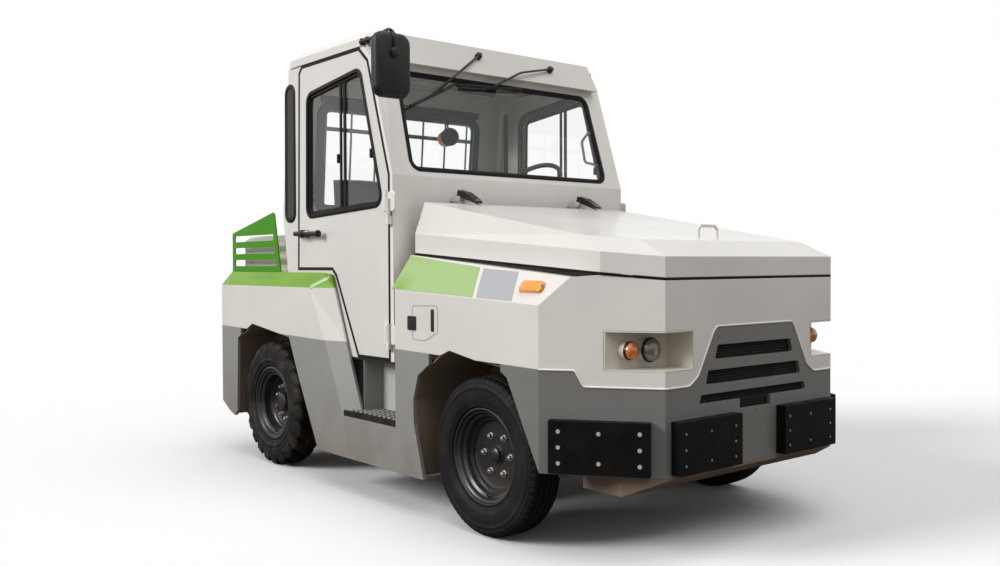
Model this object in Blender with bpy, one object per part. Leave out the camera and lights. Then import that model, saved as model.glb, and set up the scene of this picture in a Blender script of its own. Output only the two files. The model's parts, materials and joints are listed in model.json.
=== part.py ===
"""Electric tow tractor for airport baggage carts, one object for each piece.

Metres, +Z up, nose towards -Y, the tractor's right side towards -X. Stations along the length are
counted from the front axle, and the empty called vehicle puts mid-length on the world's origin.
"""

from math import cos, pi, sin, sqrt, tan

import bmesh
import bpy
from mathutils import Matrix, Vector

# Overall sizes
SCREEN_LOW = 1.762
CAB_RISE = 0.6826
CAB_EAVES = SCREEN_LOW + CAB_RISE
ROOF_RISE = 0.0854
ROOF_HEIGHT = CAB_EAVES + ROOF_RISE
WHEELBASE = 2.150
HALF_WIDTH = 0.925
NOSE_OVERHANG = 0.868
TAIL_OVERHANG = 0.650
FIT = 0.0004
SEAM = 0.0009
OVERRUN = 0.050
RUNNING_GAP = 0.008

# Sheet and plate thicknesses
BODY_SHEET = 0.012
CHASSIS_PLATE = 0.020
DOOR_THICKNESS = 0.035
GLASS = 0.006

# Nose in plan and its levels
NOSE_HALF_WIDTH = 0.610
NOSE_CORNER_LEAD = 0.438
NOSE_BOTTOM = 0.373
GREY_TOP_FRONT = 0.814
GREY_TOP_DOOR = 0.830
GREY_TOP_NOSE = 0.745
GREY_TOP_TAIL = 0.852
LEVEL_BAND_LENGTH = 0.157
LEVEL_BAND_STEP = 0.036
PAN_BOTTOM = 0.290
PAN_HALF_WIDTH = 0.715
PAN_LEAD = 0.720

# Grille surround on the nose, half widths and heights
SURROUND_FOOT = 0.460
SURROUND_TOE = 0.403
SURROUND_TOE_RISE = 0.039
SURROUND_SHOULDER = 0.300
SURROUND_TOP = 0.990
SURROUND_ROUND = 0.022
MESH_DEPTH = 0.010
MESH_HALF_WIDTH = 0.420
MESH_FOOT_HALF_WIDTH = 0.200
MESH_LOW = 0.602
MESH_SHOULDER = 0.6612
MESH_HIGH = 0.930
GRILLE_SLOTS = (
    # low and its half width, high and its half width
    (0.847, 0.290, 0.909, 0.268),
    (0.741, 0.352, 0.802, 0.333),
    (0.662, 0.396, 0.700, 0.380),
)
GRILLE_SLOT_ROUND = 0.008
GRILLE_DROP_HALF_WIDTH = 0.113
GRILLE_DROP_LOW = 0.617

# Shoulder and hood
FRONT_BODY_REAR = 0.654
SHOULDER_LOW_REAR = 1.132
SHOULDER_LOW_FRONT = 1.087
SHOULDER_TOP_HALF_WIDTH_REAR = 0.800
SHOULDER_TOP_HALF_WIDTH_FRONT = 0.844
SHOULDER_TOP_FRONT = 1.206
HOOD_HALF_WIDTH = 0.772
HOOD_REAR = 0.690
HOOD_CORNER_LEAD = 0.654
HOOD_EDGE_REAR = 1.321
HOOD_EDGE_CORNER = 1.227
HOOD_EDGE_NOSE = 1.204
HOOD_BAND_REAR = 0.100
HOOD_BAND_FRONT = 0.087
HOOD_TOP_REAR = 1.585
HOOD_TOP_CORNER = 1.387
HOOD_TOP_NOSE = 1.365
HOOD_TOP_INSET = 0.036
HOOD_TOP_CORNER_SETBACK = 0.144
HOOD_TOP_NOSE_SETBACK = 0.159
HOOD_SEAL = 0.012
HOOD_FLANGE = 0.085
HINGE_HALF_SPREAD = 0.441
HINGE_DROP = 0.147
HINGE_HEIGHT = SCREEN_LOW - HINGE_DROP
HINGE_RADIUS = 0.014
HINGE_LENGTH = 0.070

# Wheel arches: stations and heights in tyre radii, from the axle line and from the ground
FRONT_ARCH_SHARES = (
    # behind axle, above ground
    (1.07, -0.10),
    (1.10, 0.52),
    (1.321, 1.264),
    (1.332, 1.580),
    (1.221, 1.922),
    (0.806, 2.189),
    (0.520, 2.299),
    (-0.173, 2.186),
    (-0.426, 2.159),
    (-0.617, 2.051),
    (-1.183, 1.005),
    (-1.40, 0.60),
    (-1.40, -0.10),
)
REAR_ARCH_SHARES = (
    (-1.88, -0.10),
    (-1.765, 0.538),
    (-1.209, 1.516),
    (-0.898, 2.128),
    (0.389, 2.280),
    (0.929, 2.017),
    (0.973, 0.955),
    (0.973, -0.10),
)

# Wheelhouse liners inside the arches, in the same measures
FRONT_LINER_SHARES = (
    # behind axle, above ground
    (1.294, 0.55),
    (1.294, 1.21),
    (1.317, 1.430),
    (1.332, 1.580),
    (1.221, 1.922),
    (0.806, 2.189),
    (0.520, 2.299),
    (-0.173, 2.186),
    (-0.426, 2.159),
    (-0.700, 2.089),
    (-1.320, 1.510),
    (-1.320, 1.430),
    (-1.320, 0.960),
)
REAR_LINER_SHARES = (
    (-1.765, 0.538),
    (-1.398, 1.184),
    (-1.209, 1.516),
    (-0.898, 2.128),
    (0.389, 2.280),
    (0.929, 2.017),
    (1.055, 1.500),
    (1.055, 1.184),
    (1.055, 0.720),
)
LINER_SHEET = 0.006
FRONT_LINER_INNER = 0.460
REAR_LINER_INNER = 0.655
FRONT_WALL_SHARE = 1.430
REAR_WALL_SHARE = 1.184
LINER_TIE_LENGTH = 0.240
LINER_TIE_HEIGHT = 0.712
CAB_CLEARANCE = 0.002

# Side skirt, step and step well
SKIRT_BOTTOM = 0.200
SKIRT_FRONT = 0.360
STEP_HEIGHT = 0.462
STEP_REAR = 1.176
STEP_DEPTH = 0.032
WELL_HALF_WIDTH = 0.750
WELL_REAR_INNER = 1.030
WELL_REAR_SETBACK = 0.120

# Cab
CAB_HALF_WIDTH = 0.860
CAB_FLOOR = 0.750
FLOOR_PLATE = 0.010
DOOR_FRONT = 0.805
DOOR_REAR_LEAD = 0.362
DOOR_REAR = WHEELBASE - DOOR_REAR_LEAD
DOOR_REAR_TAPER = 0.025
DOOR_REAR_TOP = DOOR_REAR - DOOR_REAR_TAPER
DOOR_BOTTOM = 0.763
DOOR_LOW_REAR = 1.111
DOOR_KNEE_LEAD = 0.443
DOOR_KNEE = DOOR_REAR - DOOR_KNEE_LEAD
DOOR_KNEE_HEIGHT = 1.204
DOOR_STEP_LENGTH = 0.398
DOOR_STEP_START = DOOR_REAR - DOOR_STEP_LENGTH
DOOR_STEP_HEIGHT = 1.241
DOOR_TOP_DROP = 0.0136
DOOR_TOP = CAB_EAVES - DOOR_TOP_DROP
DOOR_TOP_CORNER = 0.030
PILLAR_KNEE_DROP = 0.032
PILLAR_KNEE_HEIGHT = SCREEN_LOW - PILLAR_KNEE_DROP
PILLAR_TOP = 1.008
PILLAR_TOP_DROP = 0.0866
PILLAR_TOP_HEIGHT = CAB_EAVES - PILLAR_TOP_DROP
DOOR_TOP_FRONT = 1.094
COWL_FRONT = 0.735
PILLAR_CORNER = 0.025
PILLAR_FLAT = 0.030
PILLAR_TOP_FLAT = 0.060
PILLAR_TAPER = 0.020
COWL_HALF_WIDTH = 0.800
SCREEN_FOOT = 0.772
SCREEN_FOOT_DROP = 0.015
SCREEN_FOOT_HEIGHT = SCREEN_LOW - SCREEN_FOOT_DROP
SCREEN_RAKE = 0.300
SCREEN_HALF_WIDTH_LOW = 0.735
SCREEN_HALF_WIDTH_HIGH = 0.722
SCREEN_DROP = 0.1306
SCREEN_HIGH = CAB_EAVES - SCREEN_DROP
SCREEN_CORNER = 0.060
VISOR_DROP = 0.0896
VISOR_LOW = CAB_EAVES - VISOR_DROP
VISOR_LEAD = 0.0544
VISOR_FRONT = SCREEN_FOOT + (VISOR_LOW - SCREEN_FOOT_HEIGHT) * SCREEN_RAKE - VISOR_LEAD
VISOR_CLEARANCE = 0.004
VISOR_HALF_WIDTH = 0.790
ROOF_SETBACK = 0.01872
ROOF_FRONT = SCREEN_FOOT + (CAB_EAVES - SCREEN_FOOT_HEIGHT) * SCREEN_RAKE + ROOF_SETBACK
ROOF_REAR_LEAD = 0.220
ROOF_REAR = WHEELBASE - ROOF_REAR_LEAD
ROOF_TAPER = 0.045
ROOF_CORNER = 0.090
ROOF_SIDE_LIP = 0.008
ROOF_FRONT_LIP = 0.020
ROOF_REAR_LIP = 0.010
VISOR_ROOT = 0.010
VISOR_TOP_DROP = 0.001
REAR_WAIST_LEAD = 0.132
REAR_WAIST = WHEELBASE - REAR_WAIST_LEAD
REAR_WAIST_RISE = 0.316
REAR_WAIST_HEIGHT = DOOR_STEP_HEIGHT + REAR_WAIST_RISE
REAR_DECK_LEAD = 0.188
REAR_DECK_LINE = WHEELBASE - REAR_DECK_LEAD
REAR_FLOOR_LEAD = 0.350
REAR_FLOOR_LINE = WHEELBASE - REAR_FLOOR_LEAD
REAR_TOP_LEAD = 0.220
REAR_TOP_LINE = WHEELBASE - REAR_TOP_LEAD
REAR_CORNER = 0.030
REAR_WINDOW_HALF_WIDTH = 0.600
REAR_WINDOW_SILL = 0.063
REAR_WINDOW_DROP = 0.1946
REAR_WINDOW_LOW = REAR_WAIST_HEIGHT + REAR_WINDOW_SILL
REAR_WINDOW_HIGH = CAB_EAVES - REAR_WINDOW_DROP
QUARTER_LEAD = 0.270
QUARTER_STATION = WHEELBASE - QUARTER_LEAD
QUARTER_WIDTH = 0.056
QUARTER_SILL = 0.293
QUARTER_DROP = 0.1106
QUARTER_LOW = DOOR_STEP_HEIGHT + QUARTER_SILL
QUARTER_HIGH = CAB_EAVES - QUARTER_DROP

# Door window, from front to rear and bottom to top
WINDOW_SILL_FRONT = 0.334
WINDOW_SILL_REAR = 0.297
WINDOW_DROP_FRONT = 0.1146
WINDOW_DROP_REAR = 0.1806
WINDOW_FRONT_LOW = (0.859, DOOR_STEP_HEIGHT + WINDOW_SILL_FRONT)
WINDOW_FRONT_HIGH = (1.080, CAB_EAVES - WINDOW_DROP_FRONT)
WINDOW_REAR_TOP_LEAD = 0.113
WINDOW_REAR_LEAD = 0.101
WINDOW_REAR_HIGH = (DOOR_REAR - WINDOW_REAR_TOP_LEAD, CAB_EAVES - WINDOW_DROP_REAR)
WINDOW_REAR_LOW = (DOOR_REAR - WINDOW_REAR_LEAD, DOOR_STEP_HEIGHT + WINDOW_SILL_REAR)
WINDOW_CORNER = 0.060
HANDLE_LEAD = 0.036
HANDLE_STATION = DOOR_REAR - HANDLE_LEAD
HANDLE_RISE = 0.204
HANDLE_HEIGHT = DOOR_STEP_HEIGHT + HANDLE_RISE
HANDLE_LENGTH = 0.170
HANDLE_STANDOFF = 0.040
DOOR_HINGE_HEIGHTS = (0.905, 1.560)
DOOR_HINGE_LENGTH = 0.090
DOOR_HINGE_RADIUS = 0.012
DOOR_HINGE_OUT = 0.016

# Rear body
FENDER_TOP = 1.128
FENDER_LEAD_LOW = 0.778
FENDER_LEAD_HIGH = 0.602
FENDER_FRONT_LOW = WHEELBASE - FENDER_LEAD_LOW
FENDER_FRONT_HIGH = WHEELBASE - FENDER_LEAD_HIGH
FENDER_FACET_RUN = 0.159
FENDER_FACET_RUN_TOP = 0.210
STEP_FACET_RUN = 0.140
FENDER_LAG = 0.497
FENDER_CORNER = WHEELBASE + FENDER_LAG
DECK_HEIGHT = 1.215
DECK_INSET = 0.053
DECK_HALF_WIDTH = HALF_WIDTH - DECK_INSET
DECK_PLATE = 0.015
DECK_FRONT_LEAD = 0.176
DECK_EDGE_LEAD = 0.080
DECK_CORNER_LAG = 0.060
DECK_TAIL_INSET = 0.050
DECK_TAIL_LEAD = 0.060
DECK_PLATE_LAG = 0.040
DECK_PLATE_INSET = 0.080
DECK_PLATE_LEAD = 0.085
TAIL_HALF_WIDTH = 0.905
TAIL_BOTTOM = 0.345
FLAP_BOTTOM = 0.268
FLAP_FRONT_RISE = 0.080
FLAP_REAR_RISE = 0.025
FLAP_FRONT_SHARE = 1.076
BOX_INSET = 0.092
BOX_HALF_WIDTH = DECK_HALF_WIDTH - BOX_INSET
BOX_LEAD = 0.070
BOX_FRONT = WHEELBASE - BOX_LEAD
BOX_LAG = 0.550
BOX_REAR = WHEELBASE + BOX_LAG
BOX_HEIGHT = 0.235
BOX_EDGE = 0.030
LOUVER_PLATE = 0.008
LOUVER_INSET = 0.022
LOUVER_OFFSET = DECK_HALF_WIDTH - LOUVER_INSET
LOUVER_LEAD = 0.100
LOUVER_LAG = 0.595
LOUVER_FRONT = WHEELBASE - LOUVER_LEAD
LOUVER_FRONT_TOP = WHEELBASE
LOUVER_REAR = WHEELBASE + LOUVER_LAG
LOUVER_FRONT_HEIGHT = 0.375
LOUVER_REAR_HEIGHT = 0.257
LOUVER_SLOT = 0.040
LOUVER_MARGIN = 0.035
LOUVER_NIP = 0.020
LOUVER_SLOT_HEIGHTS = (0.058, 0.138, 0.218)

# Rubber pads on the nose
PAD_THICKNESS = 0.050
PAD_LOW = 0.386
PAD_HIGH = 0.608
PAD_INNER = 0.160
PAD_OUTER = 0.575
SIDE_PAD_START = 0.050
SIDE_PAD_END = 0.475

# Lamp bay at each nose corner
BAY_START = 0.278
BAY_INNER = 0.430
BAY_LOW = 0.812
BAY_HIGH = 0.982
BAY_DEPTH = 0.150
BAY_WALL = 0.006
HEADLAMP_RADIUS = 0.050
HEADLAMP_HALF_SPREAD = 0.560
INDICATOR_RADIUS = 0.034
INDICATOR_HALF_SPREAD = 0.662
LAMP_DEPTH = 0.030

# Chassis frame
RAIL_HALF_SPREAD = 0.400
RAIL_WIDTH = 0.070
RAIL_LOW = 0.520
RAIL_HIGH = 0.660
CROSS_WIDTH = 0.080
CROSS_LOW = 0.540
CROSS_HIGH = 0.640
BUMPER_BEAM_HALF_WIDTH = 0.540
BUMPER_BEAM_DEPTH = 0.060
BUMPER_BEAM_LOW = 0.480
BUMPER_BEAM_HIGH = 0.580
TAIL_CROSS_GAP = 0.010
DOOR_CROSS = 0.740
WAIST_CROSS = 1.400
TAIL_CROSS_SETBACK = 0.100
BATTERY_HALF_WIDTH = 0.430
BATTERY_FRONT = 0.520
BATTERY_REAR = 0.580
BATTERY_HEIGHT = 0.500

# Axles, knuckles, springs
AXLE_HALF_HEIGHT = 0.040
AXLE_HALF_DEPTH = 0.045
KINGPIN_SPREAD = 0.600
KINGPIN_RADIUS = 0.022
KNUCKLE_RADIUS = 0.045
KNUCKLE_HALF_HEIGHT = 0.085
STUB_RADIUS = 0.035
AXLE_TUBE_RADIUS = 0.055
DIFFERENTIAL_RADIUS = 0.150
DIFFERENTIAL_HALF_WIDTH = 0.120
SPRING_HALF_SPREAD = 0.400
SPRING_WIDTH = 0.060
SPRING_THICKNESS = 0.030
SPRING_HALF_LENGTH = 0.420
RUN_GAP = 0.006

# Tyres and wheels
FRONT_TYRE_RADIUS = 0.371
REAR_TYRE_RADIUS = 0.3885
FRONT_TYRE_FACE = 0.8925
REAR_TYRE_FACE = 0.881
FRONT_TYRE_WIDTH = 0.185
REAR_TYRE_WIDTH = 0.190
FRONT_RIM_SHARE = 0.618
REAR_RIM_SHARE = 0.600
FRONT_TYRE_STEPS = 36
REAR_LUG_COUNT = 22
REAR_LUG_DEPTH = 0.022
HUB_RADIUS = 0.062
FRONT_HUB_RISE = 0.026
REAR_HUB_RISE = 0.046
WHEEL_PLATE = 0.012
FRONT_DISH = 0.1025
REAR_DISH = 0.116
RIM_STEPS = 20
RIM_WALL = 0.010

# Mirrors, wipers, rails, hitch and cab fittings
MIRROR_HALF_SPREAD = 0.955
MIRROR_LEAD = 0.600
MIRROR_DROP = 0.1826
MIRROR_HEIGHT = CAB_EAVES - MIRROR_DROP
MIRROR_WIDTH = 0.215
MIRROR_LENGTH = 0.330
MIRROR_THICKNESS = 0.055
MIRROR_CORNER = 0.070
ARM_RADIUS = 0.010
ARM_DROP = 0.060
ARM_FOOT = 0.060
WIPER_ARM_RADIUS = 0.007
WIPER_PIVOT_OUT = 0.021
WIPER_BLADE_OUT = 0.015
WIPER_JOINT_SHARE = 0.45
WIPER_POINTS = {
    # pivot, elbow with its stand-off, and both ends of the blade, as x and height over the eaves
    "right": ((-0.137, 0.0274), (-0.406, -0.1456, 0.035), (-0.352, -0.1746), (-0.678, -0.3296)),
    "left": ((0.418, 0.0144), (0.135, -0.0476, 0.050), (0.172, -0.1406), (-0.300, -0.1706)),
}
RAIL_GRIP_RADIUS = 0.013
GRIP_RISE = 0.063
GRIP_DROP = 0.3646
GRIP_LOW = REAR_WAIST_HEIGHT + GRIP_RISE
GRIP_HIGH = CAB_EAVES - GRIP_DROP
GRIP_SINK = 0.001
GRIP_STANDOFF = 0.060
GRIP_HALF_SPREAD = 0.780
GUARD_BAR_RADIUS = 0.007
GUARD_BAR_COUNT = 7
GUARD_HALF_WIDTH = 0.560
GUARD_LEAN = 0.060
HITCH_HALF_WIDTH = 0.090
HITCH_LENGTH = 0.120
HITCH_JAW_HEIGHTS = (0.360, 0.430, 0.500, 0.570)
HITCH_PLATE = 0.016
HITCH_PIN_RADIUS = 0.016
HITCH_PIN_RISE = 0.050
HITCH_COLLAR = 0.012
SEAT_HALF_SPREAD = 0.400
SEAT_WIDTH = 0.460
SEAT_LEAD = 0.470
SEAT_STATION = REAR_FLOOR_LINE - SEAT_LEAD
SEAT_DEPTH = 0.440
SEAT_CUSHION = 0.110
SEAT_HEIGHT = 1.210
SEAT_BACK_HEIGHT = 0.430
SEAT_BACK_THICKNESS = 0.100
SEAT_BASE_INSET = 0.060
SEAT_SINK = 0.010
STEERING_HUB_SINK = 0.020
STEERING_RADIUS = 0.190
STEERING_GRIP = 0.014
STEERING_STATION = 1.090
STEERING_HEIGHT = 1.755
STEERING_SPREAD = 0.400
COLUMN_RADIUS = 0.030
COLUMN_LENGTH = 0.340
DASH_DEPTH = 0.200
DASH_HEIGHT = 1.640
DASH_LOW = 1.330
DASH_BROW = 0.060
HANDLE_LOOP_HALF_WIDTH = 0.068
HANDLE_LOOP_RISE = 0.060
HANDLE_LOOP_LEAD = 0.600
HANDLE_LOOP_RADIUS = 0.008

TAIL = WHEELBASE + TAIL_OVERHANG
MID_LENGTH = (TAIL + HITCH_LENGTH - NOSE_OVERHANG - PAD_THICKNESS) / 2
SIDES = (("right", -1), ("left", 1))
PIVOTS = {}
LUG_PHASE_SHARES = (
    # share of the pitch, sunk by the groove or not
    (0.0, 0),
    (0.60, 0),
    (0.68, 1),
    (0.92, 1),
)


def material(name, colour, roughness, metallic=0.0):
    made = bpy.data.materials.new(name)
    made.use_nodes = True
    shader = made.node_tree.nodes["Principled BSDF"]
    shader.inputs["Base Color"].default_value = (*colour, 1.0)
    shader.inputs["Roughness"].default_value = roughness
    shader.inputs["Metallic"].default_value = metallic
    return made


def anchor(name, pivot, parent=None):
    """An empty on a joint's axis, which the pieces of that body are parented to."""
    empty = bpy.data.objects.new(name, None)
    bpy.context.scene.collection.objects.link(empty)
    PIVOTS[name] = Vector(pivot)
    empty.parent = parent
    empty.location = PIVOTS[name] - (PIVOTS[parent.name] if parent else Vector())
    return empty


def piece(name, bm, look, body, smooth=False):
    """Makes one object of a closed mesh and parents it to its body's empty."""
    bmesh.ops.translate(bm, vec=-PIVOTS[body.name] + PIVOTS["vehicle"], verts=bm.verts)
    mesh = bpy.data.meshes.new(name)
    bm.to_mesh(mesh)
    bm.free()
    if smooth:
        mesh.shade_smooth()
        mesh.set_sharp_from_angle(angle=0.6)
    made = bpy.data.objects.new(name, mesh)
    bpy.context.scene.collection.objects.link(made)
    made.parent = body
    mesh.materials.append(look)
    return made


def helper(target, shape, operation):
    """Adds an exact Boolean to the target, whose operand, a mesh or a finished sheet, is hidden."""
    operand = shape
    if isinstance(shape, bmesh.types.BMesh):
        name = f"{target.name}_{operation.lower()}"
        operand = piece(name, shape, target.data.materials[0], target.parent)
    operand.hide_render = True
    operand.display_type = "WIRE"
    step = target.modifiers.new(operation.title(), "BOOLEAN")
    step.operation = operation
    step.object = operand
    step.solver = "EXACT"


def cut(target, shape):
    helper(target, shape, "DIFFERENCE")


def fuse(target, shape):
    helper(target, shape, "UNION")


def closed(bm):
    bmesh.ops.recalc_face_normals(bm, faces=bm.faces)
    return bm


def loft(sections):
    """A closed body through sections of equal point counts, capped at both ends."""
    bm = bmesh.new()
    rings = [[bm.verts.new(point) for point in section] for section in sections]
    count = len(rings[0])
    for ring, after in zip(rings, rings[1:]):
        for i in range(count):
            j = (i + 1) % count
            bm.faces.new((ring[i], ring[j], after[j], after[i]))
    bm.faces.new(rings[0])
    bm.faces.new(rings[-1])
    return closed(bm)


def prism(outline, axis, low, high):
    """Extrudes an outline of two coordinates along the third axis, x, y or z."""
    order = {"x": (2, 0, 1), "y": (0, 2, 1), "z": (0, 1, 2)}[axis]

    def place(point, level):
        values = (*point, level)
        return tuple(values[i] for i in order)

    return loft([[place(point, level) for point in outline] for level in (low, high)])


def block(x_range, y_range, z_range):
    (x0, x1), (y0, y1), (z0, z1) = x_range, y_range, z_range
    return prism([(x0, y0), (x1, y0), (x1, y1), (x0, y1)], "z", z0, z1)


def cylinder(centre, axis, radius, length, sides=24):
    """A round bar whose middle is at centre, along x, y or z."""
    bm = bmesh.new()
    bmesh.ops.create_cone(
        bm, cap_ends=True, segments=sides, radius1=radius, radius2=radius, depth=length
    )
    turn = {"x": Matrix.Rotation(pi / 2, 4, "Y"), "y": Matrix.Rotation(pi / 2, 4, "X"), "z": Matrix()}
    bmesh.ops.transform(bm, matrix=Matrix.Translation(centre) @ turn[axis], verts=bm.verts)
    return closed(bm)


def tube(route, radius, sides=10):
    """A round bar along a route of points, mitred at each bend."""
    points = [Vector(point) for point in route]
    sections = []
    side = None
    for i, point in enumerate(points):
        before = (point - points[i - 1]).normalized() if i else None
        after = (points[i + 1] - point).normalized() if i + 1 < len(points) else None
        along = ((before or after) + (after or before)).normalized()
        reach = 1 / max(along.dot(before or after), 0.3)
        if side is None:
            side = along.orthogonal().normalized()
        side = (side - along * side.dot(along)).normalized()
        up = along.cross(side)
        bend = ((after or along) - (before or along))
        stretch = bend.normalized() if bend.length > 0.001 else Vector()
        ring = []
        for k in range(sides):
            angle = 2 * pi * k / sides
            spoke = (side * cos(angle) + up * sin(angle)) * radius
            ring.append(point + spoke + stretch * spoke.dot(stretch) * (reach - 1))
        sections.append(ring)
    return loft(sections)


def rounded(outline, radius, steps=4):
    """Rounds each corner of a two-coordinate outline with an arc."""
    corners = [Vector(point) for point in outline]
    result = []
    for i, corner in enumerate(corners):
        back = (corners[i - 1] - corner).normalized()
        ahead = (corners[(i + 1) % len(corners)] - corner).normalized()
        half = back.angle(ahead) / 2
        middle = corner + (back + ahead).normalized() * radius / sin(half)
        start = corner + back * radius / tan(half) - middle
        end = corner + ahead * radius / tan(half) - middle
        sweep = start.angle_signed(end)
        for k in range(steps + 1):
            turn = Matrix.Rotation(-sweep * k / steps, 2)
            result.append(tuple(middle + turn @ start))
    return result


def inset(outline, distance):
    """Moves every side of an outline inwards by a distance."""
    corners = [Vector(point) for point in outline]
    area = sum(a.x * b.y - b.x * a.y for a, b in zip(corners, corners[1:] + corners[:1]))
    turn = 1 if area > 0 else -1
    result = []
    for i, corner in enumerate(corners):
        before = (corner - corners[i - 1]).normalized()
        after = (corners[(i + 1) % len(corners)] - corner).normalized()
        normal_a = Vector((-before.y, before.x)) * turn
        normal_b = Vector((-after.y, after.x)) * turn
        mitre = (normal_a + normal_b).normalized()
        result.append(tuple(corner + mitre * distance / max(mitre.dot(normal_a), 0.3)))
    return result


def turned(profile, centre, steps, side):
    """Turns a profile of (radius, outward) pairs about the line through centre along x."""
    bm = bmesh.new()
    cx, cy, cz = centre
    rings = []
    for radius, outward in profile:
        x = cx + side * outward
        if radius == 0:
            rings.append([bm.verts.new((x, cy, cz))])
            continue
        angles = [2 * pi * k / steps for k in range(steps)]
        rings.append([bm.verts.new((x, cy + radius * cos(a), cz + radius * sin(a))) for a in angles])
    bridge_rings(bm, rings, steps)
    return closed(bm)


def bridge_rings(bm, rings, steps):
    for ring, after in zip(rings, rings[1:]):
        for k in range(steps):
            j = (k + 1) % steps
            corners = [ring[k % len(ring)], ring[j % len(ring)]]
            corners += [after[j % len(after)], after[k % len(after)]]
            unique = list(dict.fromkeys(corners))
            bm.faces.new(unique)


def sheet(name, polygons, thickness, look, body, inside):
    """A bent sheet of flat panels: the given faces are its outer side, and inside is a point within."""
    bm = bmesh.new()
    made = {}
    for polygon in polygons:
        corners = []
        for point in polygon:
            key = tuple(round(value, 6) for value in point)
            if key not in made:
                made[key] = bm.verts.new(point)
            corners.append(made[key])
        bm.faces.new(corners)
    closed(bm)
    bm.normal_update()
    middle = Vector(inside)
    outward = sum(f.calc_area() * f.normal.dot(f.calc_center_median() - middle) for f in bm.faces)
    if outward < 0:
        bmesh.ops.reverse_faces(bm, faces=bm.faces)
    made_piece = piece(name, bm, look, body)
    skin = made_piece.modifiers.new("Sheet", "SOLIDIFY")
    skin.thickness = thickness
    skin.offset = -1
    skin.use_even_offset = True
    return made_piece


def mirrored(points):
    return [(-x, y, z) for x, y, z in points]


def both_sides(polygons):
    return polygons + [mirrored(polygon) for polygon in polygons]


def strip(lows, highs):
    """Quads between two rows of points."""
    return [[a, b, d, c] for a, b, c, d in zip(lows, lows[1:], highs, highs[1:])]


def chamfer_point(along):
    """The plan position on the right nose chamfer, at a distance from its rear corner."""
    run = Vector((HALF_WIDTH - NOSE_HALF_WIDTH, NOSE_CORNER_LEAD - NOSE_OVERHANG))
    spot = Vector((-HALF_WIDTH, -NOSE_CORNER_LEAD)) + run.normalized() * along
    return spot.x, spot.y


def chamfer_length():
    return sqrt((HALF_WIDTH - NOSE_HALF_WIDTH) ** 2 + (NOSE_OVERHANG - NOSE_CORNER_LEAD) ** 2)


def arch(shares, station, radius):
    """Cutter for both wheel arches of one axle."""
    outline = [(station + y * radius, z * radius) for y, z in shares]
    return prism(outline, "x", -HALF_WIDTH - OVERRUN, HALF_WIDTH + OVERRUN)


def front_arch():
    return arch(FRONT_ARCH_SHARES, 0, FRONT_TYRE_RADIUS)


def rear_arch():
    return arch(REAR_ARCH_SHARES, WHEELBASE, REAR_TYRE_RADIUS)


def liner_face(station):
    """Half width that a wheelhouse liner reaches to inside the skirts at a station."""
    slope = (HALF_WIDTH - NOSE_HALF_WIDTH) / (NOSE_OVERHANG - NOSE_CORNER_LEAD)
    chamfer = HALF_WIDTH - (-station + LINER_SHEET - NOSE_CORNER_LEAD) * slope
    chamfer -= CHASSIS_PLATE * sqrt(1 + slope * slope)
    return min(HALF_WIDTH - CHASSIS_PLATE, chamfer) - FIT


def liner(name, side, shares, wall_share, inner, axle, radius, look, body):
    """A wheelhouse's bent sheet over the tyre, with an inner wall that starts above the axle."""
    line = [(axle + y * radius, z * radius) for y, z in shares]
    outer = [(side * liner_face(y), y, z) for y, z in line]
    inward = [(side * inner, y, z) for y, z in line]
    wall = [point for point, share in zip(inward, shares) if share[1] >= wall_share]
    middle = (side * (inner + HALF_WIDTH) / 2, axle, radius)
    bent = sheet(name, strip(outer, inward) + [wall], LINER_SHEET, look, body, middle)
    bent.modifiers["Sheet"].offset = 1
    return bent


def grey_top(station):
    """Height of the grey skirts' top edge beside the front wheel."""
    share = (station + NOSE_CORNER_LEAD) / (FRONT_BODY_REAR + NOSE_CORNER_LEAD)
    return GREY_TOP_FRONT + (GREY_TOP_DOOR - GREY_TOP_FRONT) * share


def rear_grey_top(station):
    """Height of the same edge beside the rear wheel."""
    share = (station - FENDER_FRONT_LOW) / (FENDER_CORNER - FENDER_FRONT_LOW)
    return GREY_TOP_DOOR + (GREY_TOP_TAIL - GREY_TOP_DOOR) * share


def surround_half(lift):
    """Right half of the line where the grey nose meets the white body, from the corner inwards."""
    top = SURROUND_TOP + lift
    return [
        (-NOSE_HALF_WIDTH, -NOSE_OVERHANG, GREY_TOP_NOSE + lift),
        (-SURROUND_FOOT, -NOSE_OVERHANG, GREY_TOP_NOSE + lift),
        (-SURROUND_TOE, -NOSE_OVERHANG, GREY_TOP_NOSE + SURROUND_TOE_RISE + lift),
        (-SURROUND_SHOULDER, -NOSE_OVERHANG, top - SURROUND_ROUND),
        (-SURROUND_SHOULDER + SURROUND_ROUND, -NOSE_OVERHANG, top),
    ]


def chamfer_boundary(lift):
    """The same line on the right chamfer, from its rear corner forwards."""
    return [
        (*chamfer_point(0), GREY_TOP_FRONT + lift),
        (*chamfer_point(LEVEL_BAND_LENGTH), GREY_TOP_FRONT + lift),
        (*chamfer_point(LEVEL_BAND_LENGTH + LEVEL_BAND_STEP), GREY_TOP_NOSE + lift),
    ]


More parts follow.
